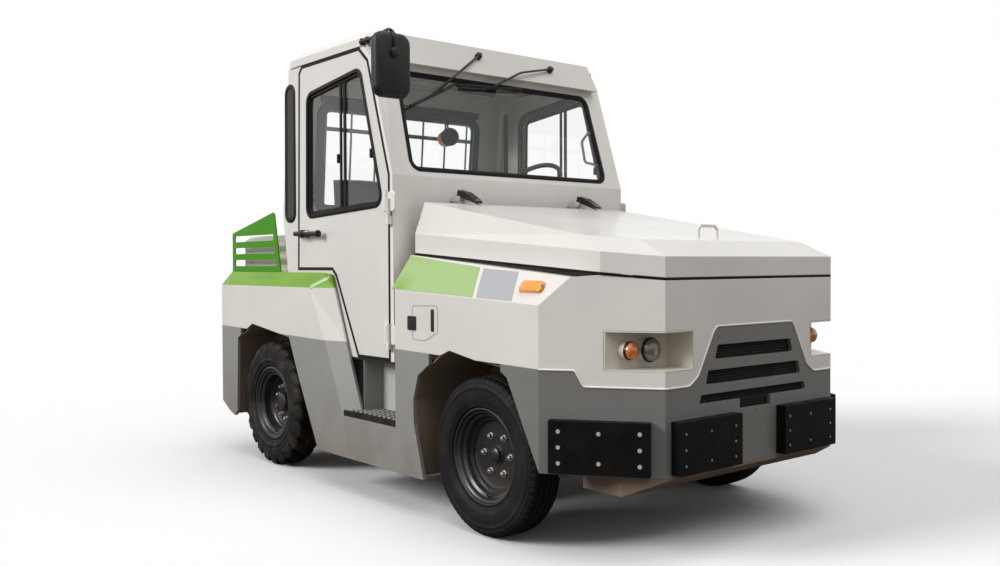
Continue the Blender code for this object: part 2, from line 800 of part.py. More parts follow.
def build_nose(looks, vehicle):
    """Grey nose skirt, its pan, the grille mesh and the four rubber pads."""
    side_start = -FRONT_TYRE_RADIUS / 2
    boundary = chamfer_boundary(0)
    corner, *front = surround_half(0)
    side = [
        (-HALF_WIDTH, side_start, NOSE_BOTTOM),
        (-HALF_WIDTH, side_start, grey_top(side_start)),
        boundary[0],
        (*chamfer_point(0), NOSE_BOTTOM),
    ]
    chamfer = [
        (*chamfer_point(0), NOSE_BOTTOM),
        *boundary,
        corner,
        (-NOSE_HALF_WIDTH, -NOSE_OVERHANG, NOSE_BOTTOM),
    ]
    half = [corner, *front]
    face = [(-NOSE_HALF_WIDTH, -NOSE_OVERHANG, NOSE_BOTTOM), *half]
    face += [(-x, y, z) for x, y, z in reversed(face)]
    skirt = sheet(
        "nose_skirt",
        both_sides([side, chamfer]) + [face],
        CHASSIS_PLATE,
        looks["grey"],
        vehicle,
        (0, 0, NOSE_BOTTOM),
    )
    cut(skirt, front_arch())
    through = (-NOSE_OVERHANG - OVERRUN, -NOSE_OVERHANG + OVERRUN)
    for low, low_half, high, high_half in GRILLE_SLOTS:
        slot = [(-low_half, low), (low_half, low), (high_half, high), (-high_half, high)]
        cut(skirt, prism(rounded(slot, GRILLE_SLOT_ROUND, 2), "y", *through))
    drop = (GRILLE_DROP_LOW, GRILLE_SLOTS[-1][0] + GRILLE_SLOT_ROUND)
    cut(skirt, block((-GRILLE_DROP_HALF_WIDTH, GRILLE_DROP_HALF_WIDTH), through, drop))
    mesh_front = -NOSE_OVERHANG + CHASSIS_PLATE + FIT
    foot, wide = MESH_FOOT_HALF_WIDTH, MESH_HALF_WIDTH
    half = [(foot, MESH_LOW), (foot, MESH_SHOULDER), (wide, MESH_SHOULDER), (wide, MESH_HIGH)]
    plan = half + [(-x, z) for x, z in reversed(half)]
    piece("grille_mesh", prism(plan, "y", mesh_front, mesh_front + MESH_DEPTH), looks["black"], vehicle)

    top = NOSE_BOTTOM - FIT
    ledge = top - CHASSIS_PLATE / 2
    sections = [
        # station, half width, bottom
        (-NOSE_OVERHANG, NOSE_HALF_WIDTH, ledge),
        (-PAN_LEAD, PAN_HALF_WIDTH, PAN_BOTTOM),
        (FRONT_LINER_SHARES[-1][0] * FRONT_TYRE_RADIUS - LINER_SHEET / 2, PAN_HALF_WIDTH, PAN_BOTTOM),
    ]
    pan = [[(-w, y, top), (w, y, top), (w, y, low), (-w, y, low)] for y, w, low in sections]
    tray = piece("nose_pan", loft(pan), looks["underside"], vehicle)
    for name, side in SIDES:
        places = (FRONT_LINER_SHARES, FRONT_WALL_SHARE, FRONT_LINER_INNER, 0, FRONT_TYRE_RADIUS)
        fuse(tray, liner(f"front_liner_{name}", side, *places, looks["underside"], vehicle))

    for name, side in SIDES:
        inner, outer = side * PAD_INNER, side * PAD_OUTER
        front = -NOSE_OVERHANG - FIT
        pad = block(sorted((inner, outer)), (front - PAD_THICKNESS, front), (PAD_LOW, PAD_HIGH))
        piece(f"nose_pad_{name}", pad, looks["rubber"], vehicle)
        run = (Vector(chamfer_point(1)) - Vector(chamfer_point(0))).normalized()
        away = Vector((run.y, -run.x))
        ends = [Vector(chamfer_point(SIDE_PAD_START)), Vector(chamfer_point(SIDE_PAD_END))]
        plan = [end + away * FIT for end in ends] + [end + away * PAD_THICKNESS for end in reversed(ends)]
        plan = [(-side * x, y) for x, y in plan]
        piece(f"side_pad_{name}", prism(plan, "z", PAD_LOW, PAD_HIGH), looks["rubber"], vehicle)


def build_front_body(looks, vehicle):
    """White body over the front wheels, up to the ledge that the hood closes on."""
    corner = (*chamfer_point(0), SHOULDER_LOW_FRONT)
    rear_low = (-HALF_WIDTH, FRONT_BODY_REAR, GREY_TOP_DOOR + FIT)
    rear_mid = (-HALF_WIDTH, FRONT_BODY_REAR, SHOULDER_LOW_REAR)
    rear_top = (-SHOULDER_TOP_HALF_WIDTH_REAR, HOOD_REAR, HOOD_EDGE_REAR - HOOD_SEAL)
    share = (HALF_WIDTH - SHOULDER_TOP_HALF_WIDTH_FRONT) / (HALF_WIDTH - NOSE_HALF_WIDTH)
    top = (*chamfer_point(share * chamfer_length()), SHOULDER_TOP_FRONT)
    hood_share = (HOOD_CORNER_LEAD - NOSE_CORNER_LEAD) / (NOSE_OVERHANG - NOSE_CORNER_LEAD)
    crest = (*chamfer_point(hood_share * chamfer_length()), HOOD_EDGE_CORNER - HOOD_SEAL)
    nose_top = (-NOSE_HALF_WIDTH, -NOSE_OVERHANG, HOOD_EDGE_NOSE - HOOD_SEAL)
    boundary = chamfer_boundary(FIT)
    foot, *front = surround_half(FIT)

    face = [nose_top, foot, *front]
    face += [(-x, y, z) for x, y, z in reversed(face)]
    rim = [rear_top, top, crest, nose_top]
    lip = [
        (-SHOULDER_TOP_HALF_WIDTH_REAR + HOOD_FLANGE, HOOD_REAR, rear_top[2]),
        (top[0] + HOOD_FLANGE, top[1] + HOOD_FLANGE / 2, top[2]),
        (crest[0] + HOOD_FLANGE, crest[1] + HOOD_FLANGE, crest[2]),
        (nose_top[0] + HOOD_FLANGE / 2, nose_top[1] + HOOD_FLANGE, nose_top[2]),
    ]
    half = [
        [rear_low, rear_mid, corner, boundary[0]],
        [rear_mid, rear_top, top, corner],
        [corner, top, crest, nose_top, foot, boundary[2], boundary[1], boundary[0]],
        *strip(rim, lip),
    ]
    nose_lip = [nose_top, lip[-1], *mirrored([lip[-1], nose_top])]
    body = sheet(
        "front_body",
        both_sides(half) + [face, nose_lip],
        BODY_SHEET,
        looks["white"],
        vehicle,
        (0, 0, GREY_TOP_FRONT),
    )
    cut(body, front_arch())
    for _, side in SIDES:
        cut(body, prism(bay_plan(side, OVERRUN, 0), "z", BAY_LOW, BAY_HIGH))


def bay_plan(side, reach, wall):
    """Plan of a lamp bay: reach runs out past the body's skin, wall draws the hidden sides in."""
    start = Vector(chamfer_point(BAY_START + wall))
    run = (Vector(chamfer_point(1)) - Vector(chamfer_point(0))).normalized()
    away = Vector((run.y, -run.x))
    corner = Vector((-NOSE_HALF_WIDTH, -NOSE_OVERHANG))
    inner = -BAY_INNER - wall
    plan = [start, corner, Vector((inner, -NOSE_OVERHANG))]
    if reach:
        out = Vector((0, -reach))
        plan = [start, start + away * reach, corner + away * reach, corner + out, plan[2] + out]
    plan += [Vector((inner, -NOSE_OVERHANG + BAY_DEPTH - wall)), start + Vector((wall, BAY_WALL - wall))]
    return [(-side * x, y) for x, y in plan]


def build_lamps(looks, vehicle):
    """A recessed bay at each nose corner, with a headlamp and a round indicator on its rear wall."""
    for name, side in SIDES:
        low, high = BAY_LOW + FIT, BAY_HIGH - FIT
        body = prism(bay_plan(side, 0, FIT), "z", low, high)
        bay = piece(f"lamp_bay_{name}", body, looks["cream"], vehicle)
        cavity = bay_plan(side, OVERRUN, BAY_WALL)
        cut(bay, prism(cavity, "z", low + BAY_WALL, high - BAY_WALL))
        wall_start = Vector(cavity[-1])
        wall_end = Vector(cavity[-2])
        slope = (wall_end.y - wall_start.y) / (wall_end.x - wall_start.x)
        lamps = (
            # half spread, radius
            (HEADLAMP_HALF_SPREAD, HEADLAMP_RADIUS),
            (INDICATOR_HALF_SPREAD, INDICATOR_RADIUS),
        )
        for spread, radius in lamps:
            x = side * spread
            near, far = sorted(wall_start.y + slope * (x + dx - wall_start.x) for dx in (-radius, radius))
            depth = LAMP_DEPTH + far - near + BAY_WALL / 2
            centre = (x, near - LAMP_DEPTH + depth / 2, (BAY_LOW + BAY_HIGH) / 2)
            fuse(bay, cylinder(centre, "y", radius, depth))


def build_hood(looks, vehicle):
    """Faceted hood, hinged at the cowl, with its lifting loop."""
    hinge = anchor("hood_hinge", (0, HOOD_REAR + HINGE_RADIUS, HINGE_HEIGHT), vehicle)
    edge = [
        (-HOOD_HALF_WIDTH, HOOD_REAR, HOOD_EDGE_REAR),
        (-HOOD_HALF_WIDTH, -HOOD_CORNER_LEAD, HOOD_EDGE_CORNER),
        (-NOSE_HALF_WIDTH, -NOSE_OVERHANG, HOOD_EDGE_NOSE),
    ]
    rises = (HOOD_BAND_REAR, HOOD_BAND_FRONT, HOOD_BAND_FRONT)
    band = [(x, y, z + rise) for (x, y, z), rise in zip(edge, rises)]
    top = [
        (-HOOD_HALF_WIDTH + HOOD_TOP_INSET, HOOD_REAR - HOOD_TOP_INSET, HOOD_TOP_REAR),
        (
            -HOOD_HALF_WIDTH + HOOD_TOP_INSET,
            -HOOD_CORNER_LEAD + HOOD_TOP_CORNER_SETBACK,
            HOOD_TOP_CORNER,
        ),
        (
            -NOSE_HALF_WIDTH + HOOD_TOP_INSET / 2,
            -NOSE_OVERHANG + HOOD_TOP_NOSE_SETBACK,
            HOOD_TOP_NOSE,
        ),
    ]
    half = strip(edge, band) + strip(band, top)
    middle = [
        [edge[2], band[2], *mirrored([band[2], edge[2]])],
        [band[2], top[2], *mirrored([top[2], band[2]])],
        [top[2], top[1], *mirrored([top[1], top[2]])],
        [top[1], top[0], *mirrored([top[0], top[1]])],
    ]
    hood = sheet(
        "hood", both_sides(half) + middle, BODY_SHEET, looks["white"], hinge, (0, 0, HOOD_EDGE_NOSE)
    )
    lows = [(x, y, z - HOOD_SEAL + FIT) for x, y, z in edge]
    highs = [(x, y, z - FIT * 3) for x, y, z in edge]
    front = [lows[-1], highs[-1], *mirrored([highs[-1], lows[-1]])]
    sheet(
        "hood_seal",
        both_sides(strip(lows, highs)) + [front],
        BODY_SHEET,
        looks["rubber"],
        vehicle,
        (0, 0, HOOD_EDGE_NOSE),
    )
    slope = (HOOD_TOP_REAR - HOOD_TOP_CORNER) / (top[0][1] - top[1][1])
    for _, side in SIDES:
        x = side * HINGE_HALF_SPREAD
        pin_y = PIVOTS["hood_hinge"].y
        fuse(hood, cylinder((x, pin_y, HINGE_HEIGHT), "x", HINGE_RADIUS, HINGE_LENGTH, 16))
        reach = HINGE_LENGTH * 2
        arm = [
            (pin_y, HINGE_HEIGHT + HINGE_RADIUS * 0.9),
            (pin_y - reach, HOOD_TOP_REAR - slope * reach + HINGE_RADIUS),
            (pin_y - reach, HOOD_TOP_REAR - slope * reach - HINGE_RADIUS * 2),
            (pin_y, HINGE_HEIGHT - HINGE_RADIUS * 0.9),
        ]
        width = HINGE_LENGTH / 3
        fuse(hood, prism(arm, "x", x - width / 2, x + width / 2))
    loop_y = -HANDLE_LOOP_LEAD
    base = HOOD_TOP_NOSE + (loop_y - top[2][1]) / (top[1][1] - top[2][1]) * (HOOD_TOP_CORNER - HOOD_TOP_NOSE)
    high = base + HANDLE_LOOP_RISE
    wide = HANDLE_LOOP_HALF_WIDTH
    bend = HANDLE_LOOP_RADIUS * 2
    foot = base - HANDLE_LOOP_RADIUS / 2
    route = [(-wide, loop_y, foot), (-wide, loop_y, high - bend), (-wide + bend, loop_y, high)]
    route += [(-x, y, z) for x, y, z in reversed(route)]
    fuse(hood, tube(route, HANDLE_LOOP_RADIUS, 8))


def screen_station(height):
    """Station of the windscreen's outer plane at a height."""
    return SCREEN_FOOT + (height - SCREEN_FOOT_HEIGHT) * SCREEN_RAKE


def cowl_station(height):
    """Station of the cowl's outer plane at a height below the windscreen."""
    share = (height - CAB_FLOOR) / (PILLAR_KNEE_HEIGHT - CAB_FLOOR)
    return COWL_FRONT + (screen_station(PILLAR_KNEE_HEIGHT) - COWL_FRONT) * share


def screen_outline():
    return [
        (-SCREEN_HALF_WIDTH_LOW, SCREEN_LOW),
        (SCREEN_HALF_WIDTH_LOW, SCREEN_LOW),
        (SCREEN_HALF_WIDTH_HIGH, SCREEN_HIGH),
        (-SCREEN_HALF_WIDTH_HIGH, SCREEN_HIGH),
    ]


def raked_pane(outline, station, depth, thickness):
    """A pane over an outline of (x, z) whose station follows its height."""
    near = [(x, station(z) + depth, z) for x, z in outline]
    far = [(x, y + thickness, z) for x, y, z in near]
    return loft([near, far])


def door_outline():
    return [
        (DOOR_FRONT, DOOR_BOTTOM),
        (DOOR_LOW_REAR, DOOR_BOTTOM),
        (DOOR_KNEE, DOOR_KNEE_HEIGHT),
        (DOOR_STEP_START, DOOR_STEP_HEIGHT),
        (DOOR_REAR, DOOR_STEP_HEIGHT),
        (DOOR_REAR_TOP, DOOR_TOP - DOOR_TOP_CORNER),
        (DOOR_REAR_TOP - DOOR_TOP_CORNER, DOOR_TOP),
        (DOOR_TOP_FRONT, DOOR_TOP),
        (PILLAR_TOP, PILLAR_TOP_HEIGHT),
        (DOOR_FRONT, PILLAR_KNEE_HEIGHT),
    ]


def window_outline():
    corners = [WINDOW_FRONT_LOW, WINDOW_REAR_LOW, WINDOW_REAR_HIGH, WINDOW_FRONT_HIGH]
    return rounded(corners, WINDOW_CORNER)


def under_cab():
    """Cutter that trims the cab's sheets level with the top of its floor."""
    return block(
        (-HALF_WIDTH, HALF_WIDTH), (COWL_FRONT - OVERRUN, REAR_WAIST), (CAB_FLOOR - OVERRUN, CAB_FLOOR)
    )


def build_cab_front(looks, vehicle):
    """Cowl, windscreen frame and front pillars, with the windscreen."""
    jamb = DOOR_FRONT - RUNNING_GAP
    knee = PILLAR_KNEE_HEIGHT
    top_lead = PILLAR_TOP - RUNNING_GAP
    eaves_jamb = DOOR_TOP_FRONT - RUNNING_GAP
    levels = [
        # height, jamb station, corner station, cowl half width, cowl station
        (CAB_FLOOR, jamb, COWL_FRONT + PILLAR_CORNER, COWL_HALF_WIDTH, COWL_FRONT),
        (knee, jamb, jamb - PILLAR_FLAT, COWL_HALF_WIDTH, screen_station(knee)),
        (
            PILLAR_TOP_HEIGHT,
            top_lead,
            top_lead - PILLAR_FLAT,
            COWL_HALF_WIDTH - PILLAR_TAPER,
            screen_station(PILLAR_TOP_HEIGHT),
        ),
        (
            CAB_EAVES,
            eaves_jamb,
            eaves_jamb - PILLAR_TOP_FLAT,
            COWL_HALF_WIDTH - PILLAR_TAPER,
            screen_station(CAB_EAVES),
        ),
    ]
    side = [(-CAB_HALF_WIDTH, jamb_y, z) for z, jamb_y, _, _, _ in levels]
    corner = [(-CAB_HALF_WIDTH, y, z) for z, _, y, _, _ in levels]
    front = [(-w, y, z) for z, _, _, w, y in levels]
    polygons = both_sides(strip(side, corner) + strip(corner, front)) + strip(front, mirrored(front))
    frame = sheet(
        "cab_front", polygons, CHASSIS_PLATE, looks["white"], vehicle, (0, SEAT_STATION, DASH_HEIGHT)
    )
    cut(frame, under_cab())
    opening = rounded(screen_outline(), SCREEN_CORNER)
    cut(frame, prism(opening, "y", SCREEN_FOOT - OVERRUN * 2, PILLAR_TOP + OVERRUN * 2))
    for _, side_sign in SIDES:
        for height in DOOR_HINGE_HEIGHTS:
            outer = CAB_HALF_WIDTH + DOOR_HINGE_OUT * 1.7
            boss = block(
                sorted((side_sign * (CAB_HALF_WIDTH - FIT), side_sign * outer)),
                (jamb - DOOR_HINGE_RADIUS * 2, jamb - FIT * 2),
                (height - DOOR_HINGE_LENGTH - FIT, height - DOOR_HINGE_LENGTH / 2 - FIT),
            )
            fuse(frame, boss)
        for end in (-1, 1):
            near = side_sign * HINGE_HALF_SPREAD + end * (HINGE_LENGTH / 2 + FIT)
            ear = block(
                sorted((near, near + end * HINGE_RADIUS)),
                (HOOD_REAR, cowl_station(HINGE_HEIGHT) + CHASSIS_PLATE / 2),
                (HINGE_HEIGHT - HINGE_RADIUS, HINGE_HEIGHT + HINGE_RADIUS),
            )
            fuse(frame, ear)
    pane = raked_pane(inset(opening, FIT), screen_station, (CHASSIS_PLATE - GLASS) / 2, GLASS)
    piece("windscreen", pane, looks["glass"], vehicle)


def build_cab_rear(looks, vehicle):
    """Rear wall and rear side walls of the cab with their windows."""
    gap = RUNNING_GAP
    levels = [
        # height, rear line
        (CAB_FLOOR, REAR_FLOOR_LINE),
        (DOOR_STEP_HEIGHT - gap, REAR_DECK_LINE),
        (REAR_WAIST_HEIGHT, REAR_WAIST),
        (CAB_EAVES, REAR_TOP_LINE),
    ]
    wall = [(-CAB_HALF_WIDTH + REAR_CORNER, y, z) for z, y in levels]
    corner = [(-CAB_HALF_WIDTH, y - REAR_CORNER, z) for z, y in levels]
    top_corner = DOOR_REAR_TOP + gap
    jamb = [
        (DOOR_REAR + gap, DOOR_STEP_HEIGHT - gap),
        (DOOR_REAR + gap, REAR_WAIST_HEIGHT),
        (top_corner, DOOR_TOP - DOOR_TOP_CORNER),
        (top_corner - DOOR_TOP_CORNER, CAB_EAVES),
    ]
    lower = [
        (DOOR_LOW_REAR + gap, CAB_FLOOR),
        (DOOR_KNEE + gap, DOOR_KNEE_HEIGHT),
        (DOOR_STEP_START + gap / 2, DOOR_STEP_HEIGHT - gap),
    ]
    flat = [(-CAB_HALF_WIDTH, y, z) for y, z in lower + jamb]
    slanted = [*flat[:4], corner[1], corner[0]]
    upper = [flat[3], flat[4], corner[2], corner[1]]
    crown = [flat[4], flat[5], flat[6], corner[3], corner[2]]
    polygons = both_sides([slanted, upper, crown, *strip(corner, wall)]) + strip(wall, mirrored(wall))
    shell = sheet(
        "cab_rear", polygons, CHASSIS_PLATE, looks["white"], vehicle, (0, SEAT_STATION, DASH_HEIGHT)
    )
    window = [
        (-REAR_WINDOW_HALF_WIDTH, REAR_WINDOW_LOW),
        (REAR_WINDOW_HALF_WIDTH, REAR_WINDOW_LOW),
        (REAR_WINDOW_HALF_WIDTH, REAR_WINDOW_HIGH),
        (-REAR_WINDOW_HALF_WIDTH, REAR_WINDOW_HIGH),
    ]
    cut(shell, under_cab())
    opening = rounded(window, SCREEN_CORNER)
    cut(shell, prism(opening, "y", REAR_FLOOR_LINE - OVERRUN, REAR_WAIST + OVERRUN))
    fall = (REAR_TOP_LINE - REAR_WAIST) / (CAB_EAVES - REAR_WAIST_HEIGHT)

    def rear_station(height):
        return REAR_WAIST + (height - REAR_WAIST_HEIGHT) * fall - CHASSIS_PLATE

    pane = raked_pane(inset(opening, FIT), rear_station, (CHASSIS_PLATE - GLASS) / 2, GLASS)
    piece("rear_window", pane, looks["glass"], vehicle)

    half = QUARTER_WIDTH / 2
    slot = [
        (QUARTER_STATION - half, QUARTER_LOW),
        (QUARTER_STATION + half, QUARTER_LOW),
        (QUARTER_STATION + half, QUARTER_HIGH),
        (QUARTER_STATION - half, QUARTER_HIGH),
    ]
    outline = rounded(slot, half * 0.98, 6)
    reach = CAB_HALF_WIDTH + OVERRUN
    cut(shell, prism(outline, "x", -reach, reach))
    inner = CAB_HALF_WIDTH - (CHASSIS_PLATE + GLASS) / 2
    for name, side in SIDES:
        faces = sorted((side * inner, side * (inner + GLASS)))
        pane = prism(inset(outline, FIT), "x", *faces)
        piece(f"quarter_window_{name}", pane, looks["glass"], vehicle)


def visor_station(height):
    """Station of the visor's sloping face at a height."""
    lean = (ROOF_FRONT - VISOR_FRONT) / (ROOF_HEIGHT - VISOR_TOP_DROP - VISOR_LOW)
    return VISOR_FRONT + (height - VISOR_LOW) * lean


def build_roof(looks, vehicle):
    """Roof cap with the visor over the windscreen."""
    low = CAB_EAVES + FIT
    middle = (low + ROOF_HEIGHT) / 2
    rings = [
        # height, taper
        (low, 0),
        (middle, 0),
        (ROOF_HEIGHT, ROOF_TAPER),
    ]
    sections = []
    for height, taper in rings:
        wide = CAB_HALF_WIDTH + ROOF_SIDE_LIP - taper
        front = ROOF_FRONT - ROOF_FRONT_LIP + taper
        rear = ROOF_REAR + ROOF_REAR_LIP - taper
        plan = [(-wide, front), (wide, front), (wide, rear), (-wide, rear)]
        sections.append([(x, y, height) for x, y in rounded(plan, ROOF_CORNER, 3)])
    roof = piece("cab_roof", loft(sections), looks["white"], vehicle)
    profile = [
        (VISOR_FRONT, VISOR_LOW),
        (screen_station(VISOR_LOW) - VISOR_CLEARANCE, VISOR_LOW),
        (screen_station(low) - VISOR_CLEARANCE, low),
        (ROOF_FRONT + ROOF_TAPER * 2, low + VISOR_ROOT),
        (ROOF_FRONT + ROOF_TAPER * 2, ROOF_HEIGHT - VISOR_TOP_DROP),
        (ROOF_FRONT, ROOF_HEIGHT - VISOR_TOP_DROP),
    ]
    fuse(roof, prism(profile, "x", -VISOR_HALF_WIDTH, VISOR_HALF_WIDTH))


def build_doors(looks, vehicle):
    """A door on each side, hinged at its front edge, with its window, handle and hinge barrels."""
    for name, side in SIDES:
        outer = side * CAB_HALF_WIDTH
        inner = side * (CAB_HALF_WIDTH - DOOR_THICKNESS)
        axis_x = side * (CAB_HALF_WIDTH + DOOR_HINGE_OUT)
        axis_y = DOOR_FRONT - RUNNING_GAP - DOOR_HINGE_RADIUS
        hinge = anchor(f"door_hinge_{name}", (axis_x, axis_y, DOOR_BOTTOM), vehicle)
        panel = piece(
            f"door_{name}", prism(door_outline(), "x", *sorted((outer, inner))), looks["white"], hinge
        )
        opening = window_outline()
        cut(panel, prism(opening, "x", *sorted((outer + side * OVERRUN, inner - side * OVERRUN))))
        for height in DOOR_HINGE_HEIGHTS:
            fuse(panel, cylinder((axis_x, axis_y, height), "z", DOOR_HINGE_RADIUS, DOOR_HINGE_LENGTH, 12))
            proud = outer + side * DOOR_HINGE_RADIUS / 2
            leaf = [
                (axis_x, axis_y),
                (axis_x, DOOR_FRONT + DOOR_HINGE_RADIUS * 3),
                (outer - side * FIT, DOOR_FRONT + DOOR_HINGE_RADIUS * 3),
                (outer - side * FIT, DOOR_FRONT + DOOR_HINGE_RADIUS / 4),
                (proud, DOOR_FRONT + DOOR_HINGE_RADIUS / 4),
                (proud, axis_y),
            ]
            half = DOOR_HINGE_LENGTH / 2
            fuse(panel, prism(leaf, "z", height - half, height + half))
        grip = outer + side * HANDLE_STANDOFF
        front = HANDLE_STATION - HANDLE_LENGTH
        route = [
            (outer - side * FIT * 2, HANDLE_STATION, HANDLE_HEIGHT),
            (grip, HANDLE_STATION, HANDLE_HEIGHT),
            (grip, front, HANDLE_HEIGHT),
        ]
        fuse(panel, tube(route, RAIL_GRIP_RADIUS, 8))
        middle = (outer + inner) / 2
        pane = prism(inset(opening, FIT), "x", middle - GLASS / 2, middle + GLASS / 2)
        piece(f"door_window_{name}", pane, looks["glass"], hinge)


def build_skirts(looks, vehicle):
    """Grey side skirts, step wells and steps between the wheels."""
    wall = CAB_HALF_WIDTH + CHASSIS_PLATE + FIT
    plate_low = STEP_HEIGHT - STEP_DEPTH
    for name, side in SIDES:
        x = side * HALF_WIDTH
        past_arch = WHEELBASE
        low, step, top = SKIRT_BOTTOM, plate_low - FIT, GREY_TOP_DOOR

        def at(y, z, half_width=HALF_WIDTH, sign=side):
            return (sign * half_width, y, z)

        polygons = [
            [
                at(SKIRT_FRONT, low),
                at(FRONT_BODY_REAR, low),
                at(FRONT_BODY_REAR, step),
                at(SKIRT_FRONT, step),
            ],
            [at(FRONT_BODY_REAR, low), at(STEP_REAR, low), at(STEP_REAR, step), at(FRONT_BODY_REAR, step)],
            [at(STEP_REAR, low), at(past_arch, low), at(past_arch, step), at(STEP_REAR, step)],
            [
                at(SKIRT_FRONT, step),
                at(FRONT_BODY_REAR, step),
                at(FRONT_BODY_REAR, top),
                at(SKIRT_FRONT, grey_top(SKIRT_FRONT)),
            ],
            [
                at(STEP_REAR, step),
                at(past_arch, step),
                at(past_arch, rear_grey_top(past_arch)),
                at(FENDER_FRONT_LOW, top),
            ],
            [
                at(STEP_REAR, step),
                at(FENDER_FRONT_LOW, top),
                at(FENDER_FRONT_LOW - FENDER_FACET_RUN, top, wall),
                at(STEP_REAR - STEP_FACET_RUN, step, wall),
            ],
        ]
        inside = (0, STEP_REAR, STEP_HEIGHT)
        skirt = sheet(f"side_skirt_{name}", polygons, CHASSIS_PLATE, looks["grey"], vehicle, inside)
        cut(skirt, front_arch())
        cut(skirt, rear_arch())

        inner = side * (WELL_HALF_WIDTH + FIT)
        plan = [
            (x, FRONT_BODY_REAR + FIT),
            (x, STEP_REAR - RUNNING_GAP),
            (side * wall, STEP_REAR - STEP_FACET_RUN - RUNNING_GAP),
            (inner, WELL_REAR_INNER - RUNNING_GAP),
            (inner, FRONT_BODY_REAR + FIT),
        ]
        piece(f"step_{name}", prism(plan, "z", plate_low, STEP_HEIGHT), looks["black"], vehicle)
        well = [(x - side * CHASSIS_PLATE / 2, FRONT_BODY_REAR), (side * WELL_HALF_WIDTH, FRONT_BODY_REAR)]
        well += [(side * WELL_HALF_WIDTH, WELL_REAR_INNER)]
        well += [(side * (wall - CHASSIS_PLATE), STEP_REAR - WELL_REAR_SETBACK)]
        lows = [(px, py, plate_low) for px, py in well]
        highs = [(px, py, CAB_FLOOR - FLOOR_PLATE - FIT * 2) for px, py in well]
        inside = (side * HALF_WIDTH, STEP_REAR / 2 + FRONT_BODY_REAR / 2, STEP_HEIGHT)
        lining = sheet(
            f"step_well_{name}", strip(lows, highs), FLOOR_PLATE, looks["grey"], vehicle, inside
        )
        lining.modifiers["Sheet"].offset = 1
        fuse(skirt, lining)


def build_rear_wheelhouses(looks, vehicle):
    """Both rear wheelhouses, tied by a plate over the frame's rails."""
    half = REAR_LINER_INNER - LINER_SHEET / 2
    span = (WHEELBASE - LINER_TIE_LENGTH / 2, WHEELBASE + LINER_TIE_LENGTH / 2)
    tie = block((-half, half), span, (LINER_TIE_HEIGHT, LINER_TIE_HEIGHT + LINER_SHEET))
    houses = piece("rear_wheelhouses", tie, looks["underside"], vehicle)
    for name, side in SIDES:
        places = (REAR_LINER_SHARES, REAR_WALL_SHARE, REAR_LINER_INNER, WHEELBASE, REAR_TYRE_RADIUS)
        fuse(houses, liner(f"rear_liner_{name}", side, *places, looks["underside"], vehicle))
    floor = CAB_FLOOR - FLOOR_PLATE - CAB_CLEARANCE
    lean = (REAR_DECK_LINE - REAR_FLOOR_LINE) / (DOOR_STEP_HEIGHT - CAB_FLOOR)
    back = REAR_FLOOR_LINE + CAB_CLEARANCE
    top = DECK_HEIGHT - DECK_PLATE
    cab = [
        (WAIST_CROSS, floor),
        (back, floor),
        (back + (top - CAB_FLOOR) * lean + CAB_CLEARANCE, top),
        (WAIST_CROSS, top),
    ]
    reach = CAB_HALF_WIDTH + CAB_CLEARANCE
    cut(houses, prism(cab, "x", -reach, reach))


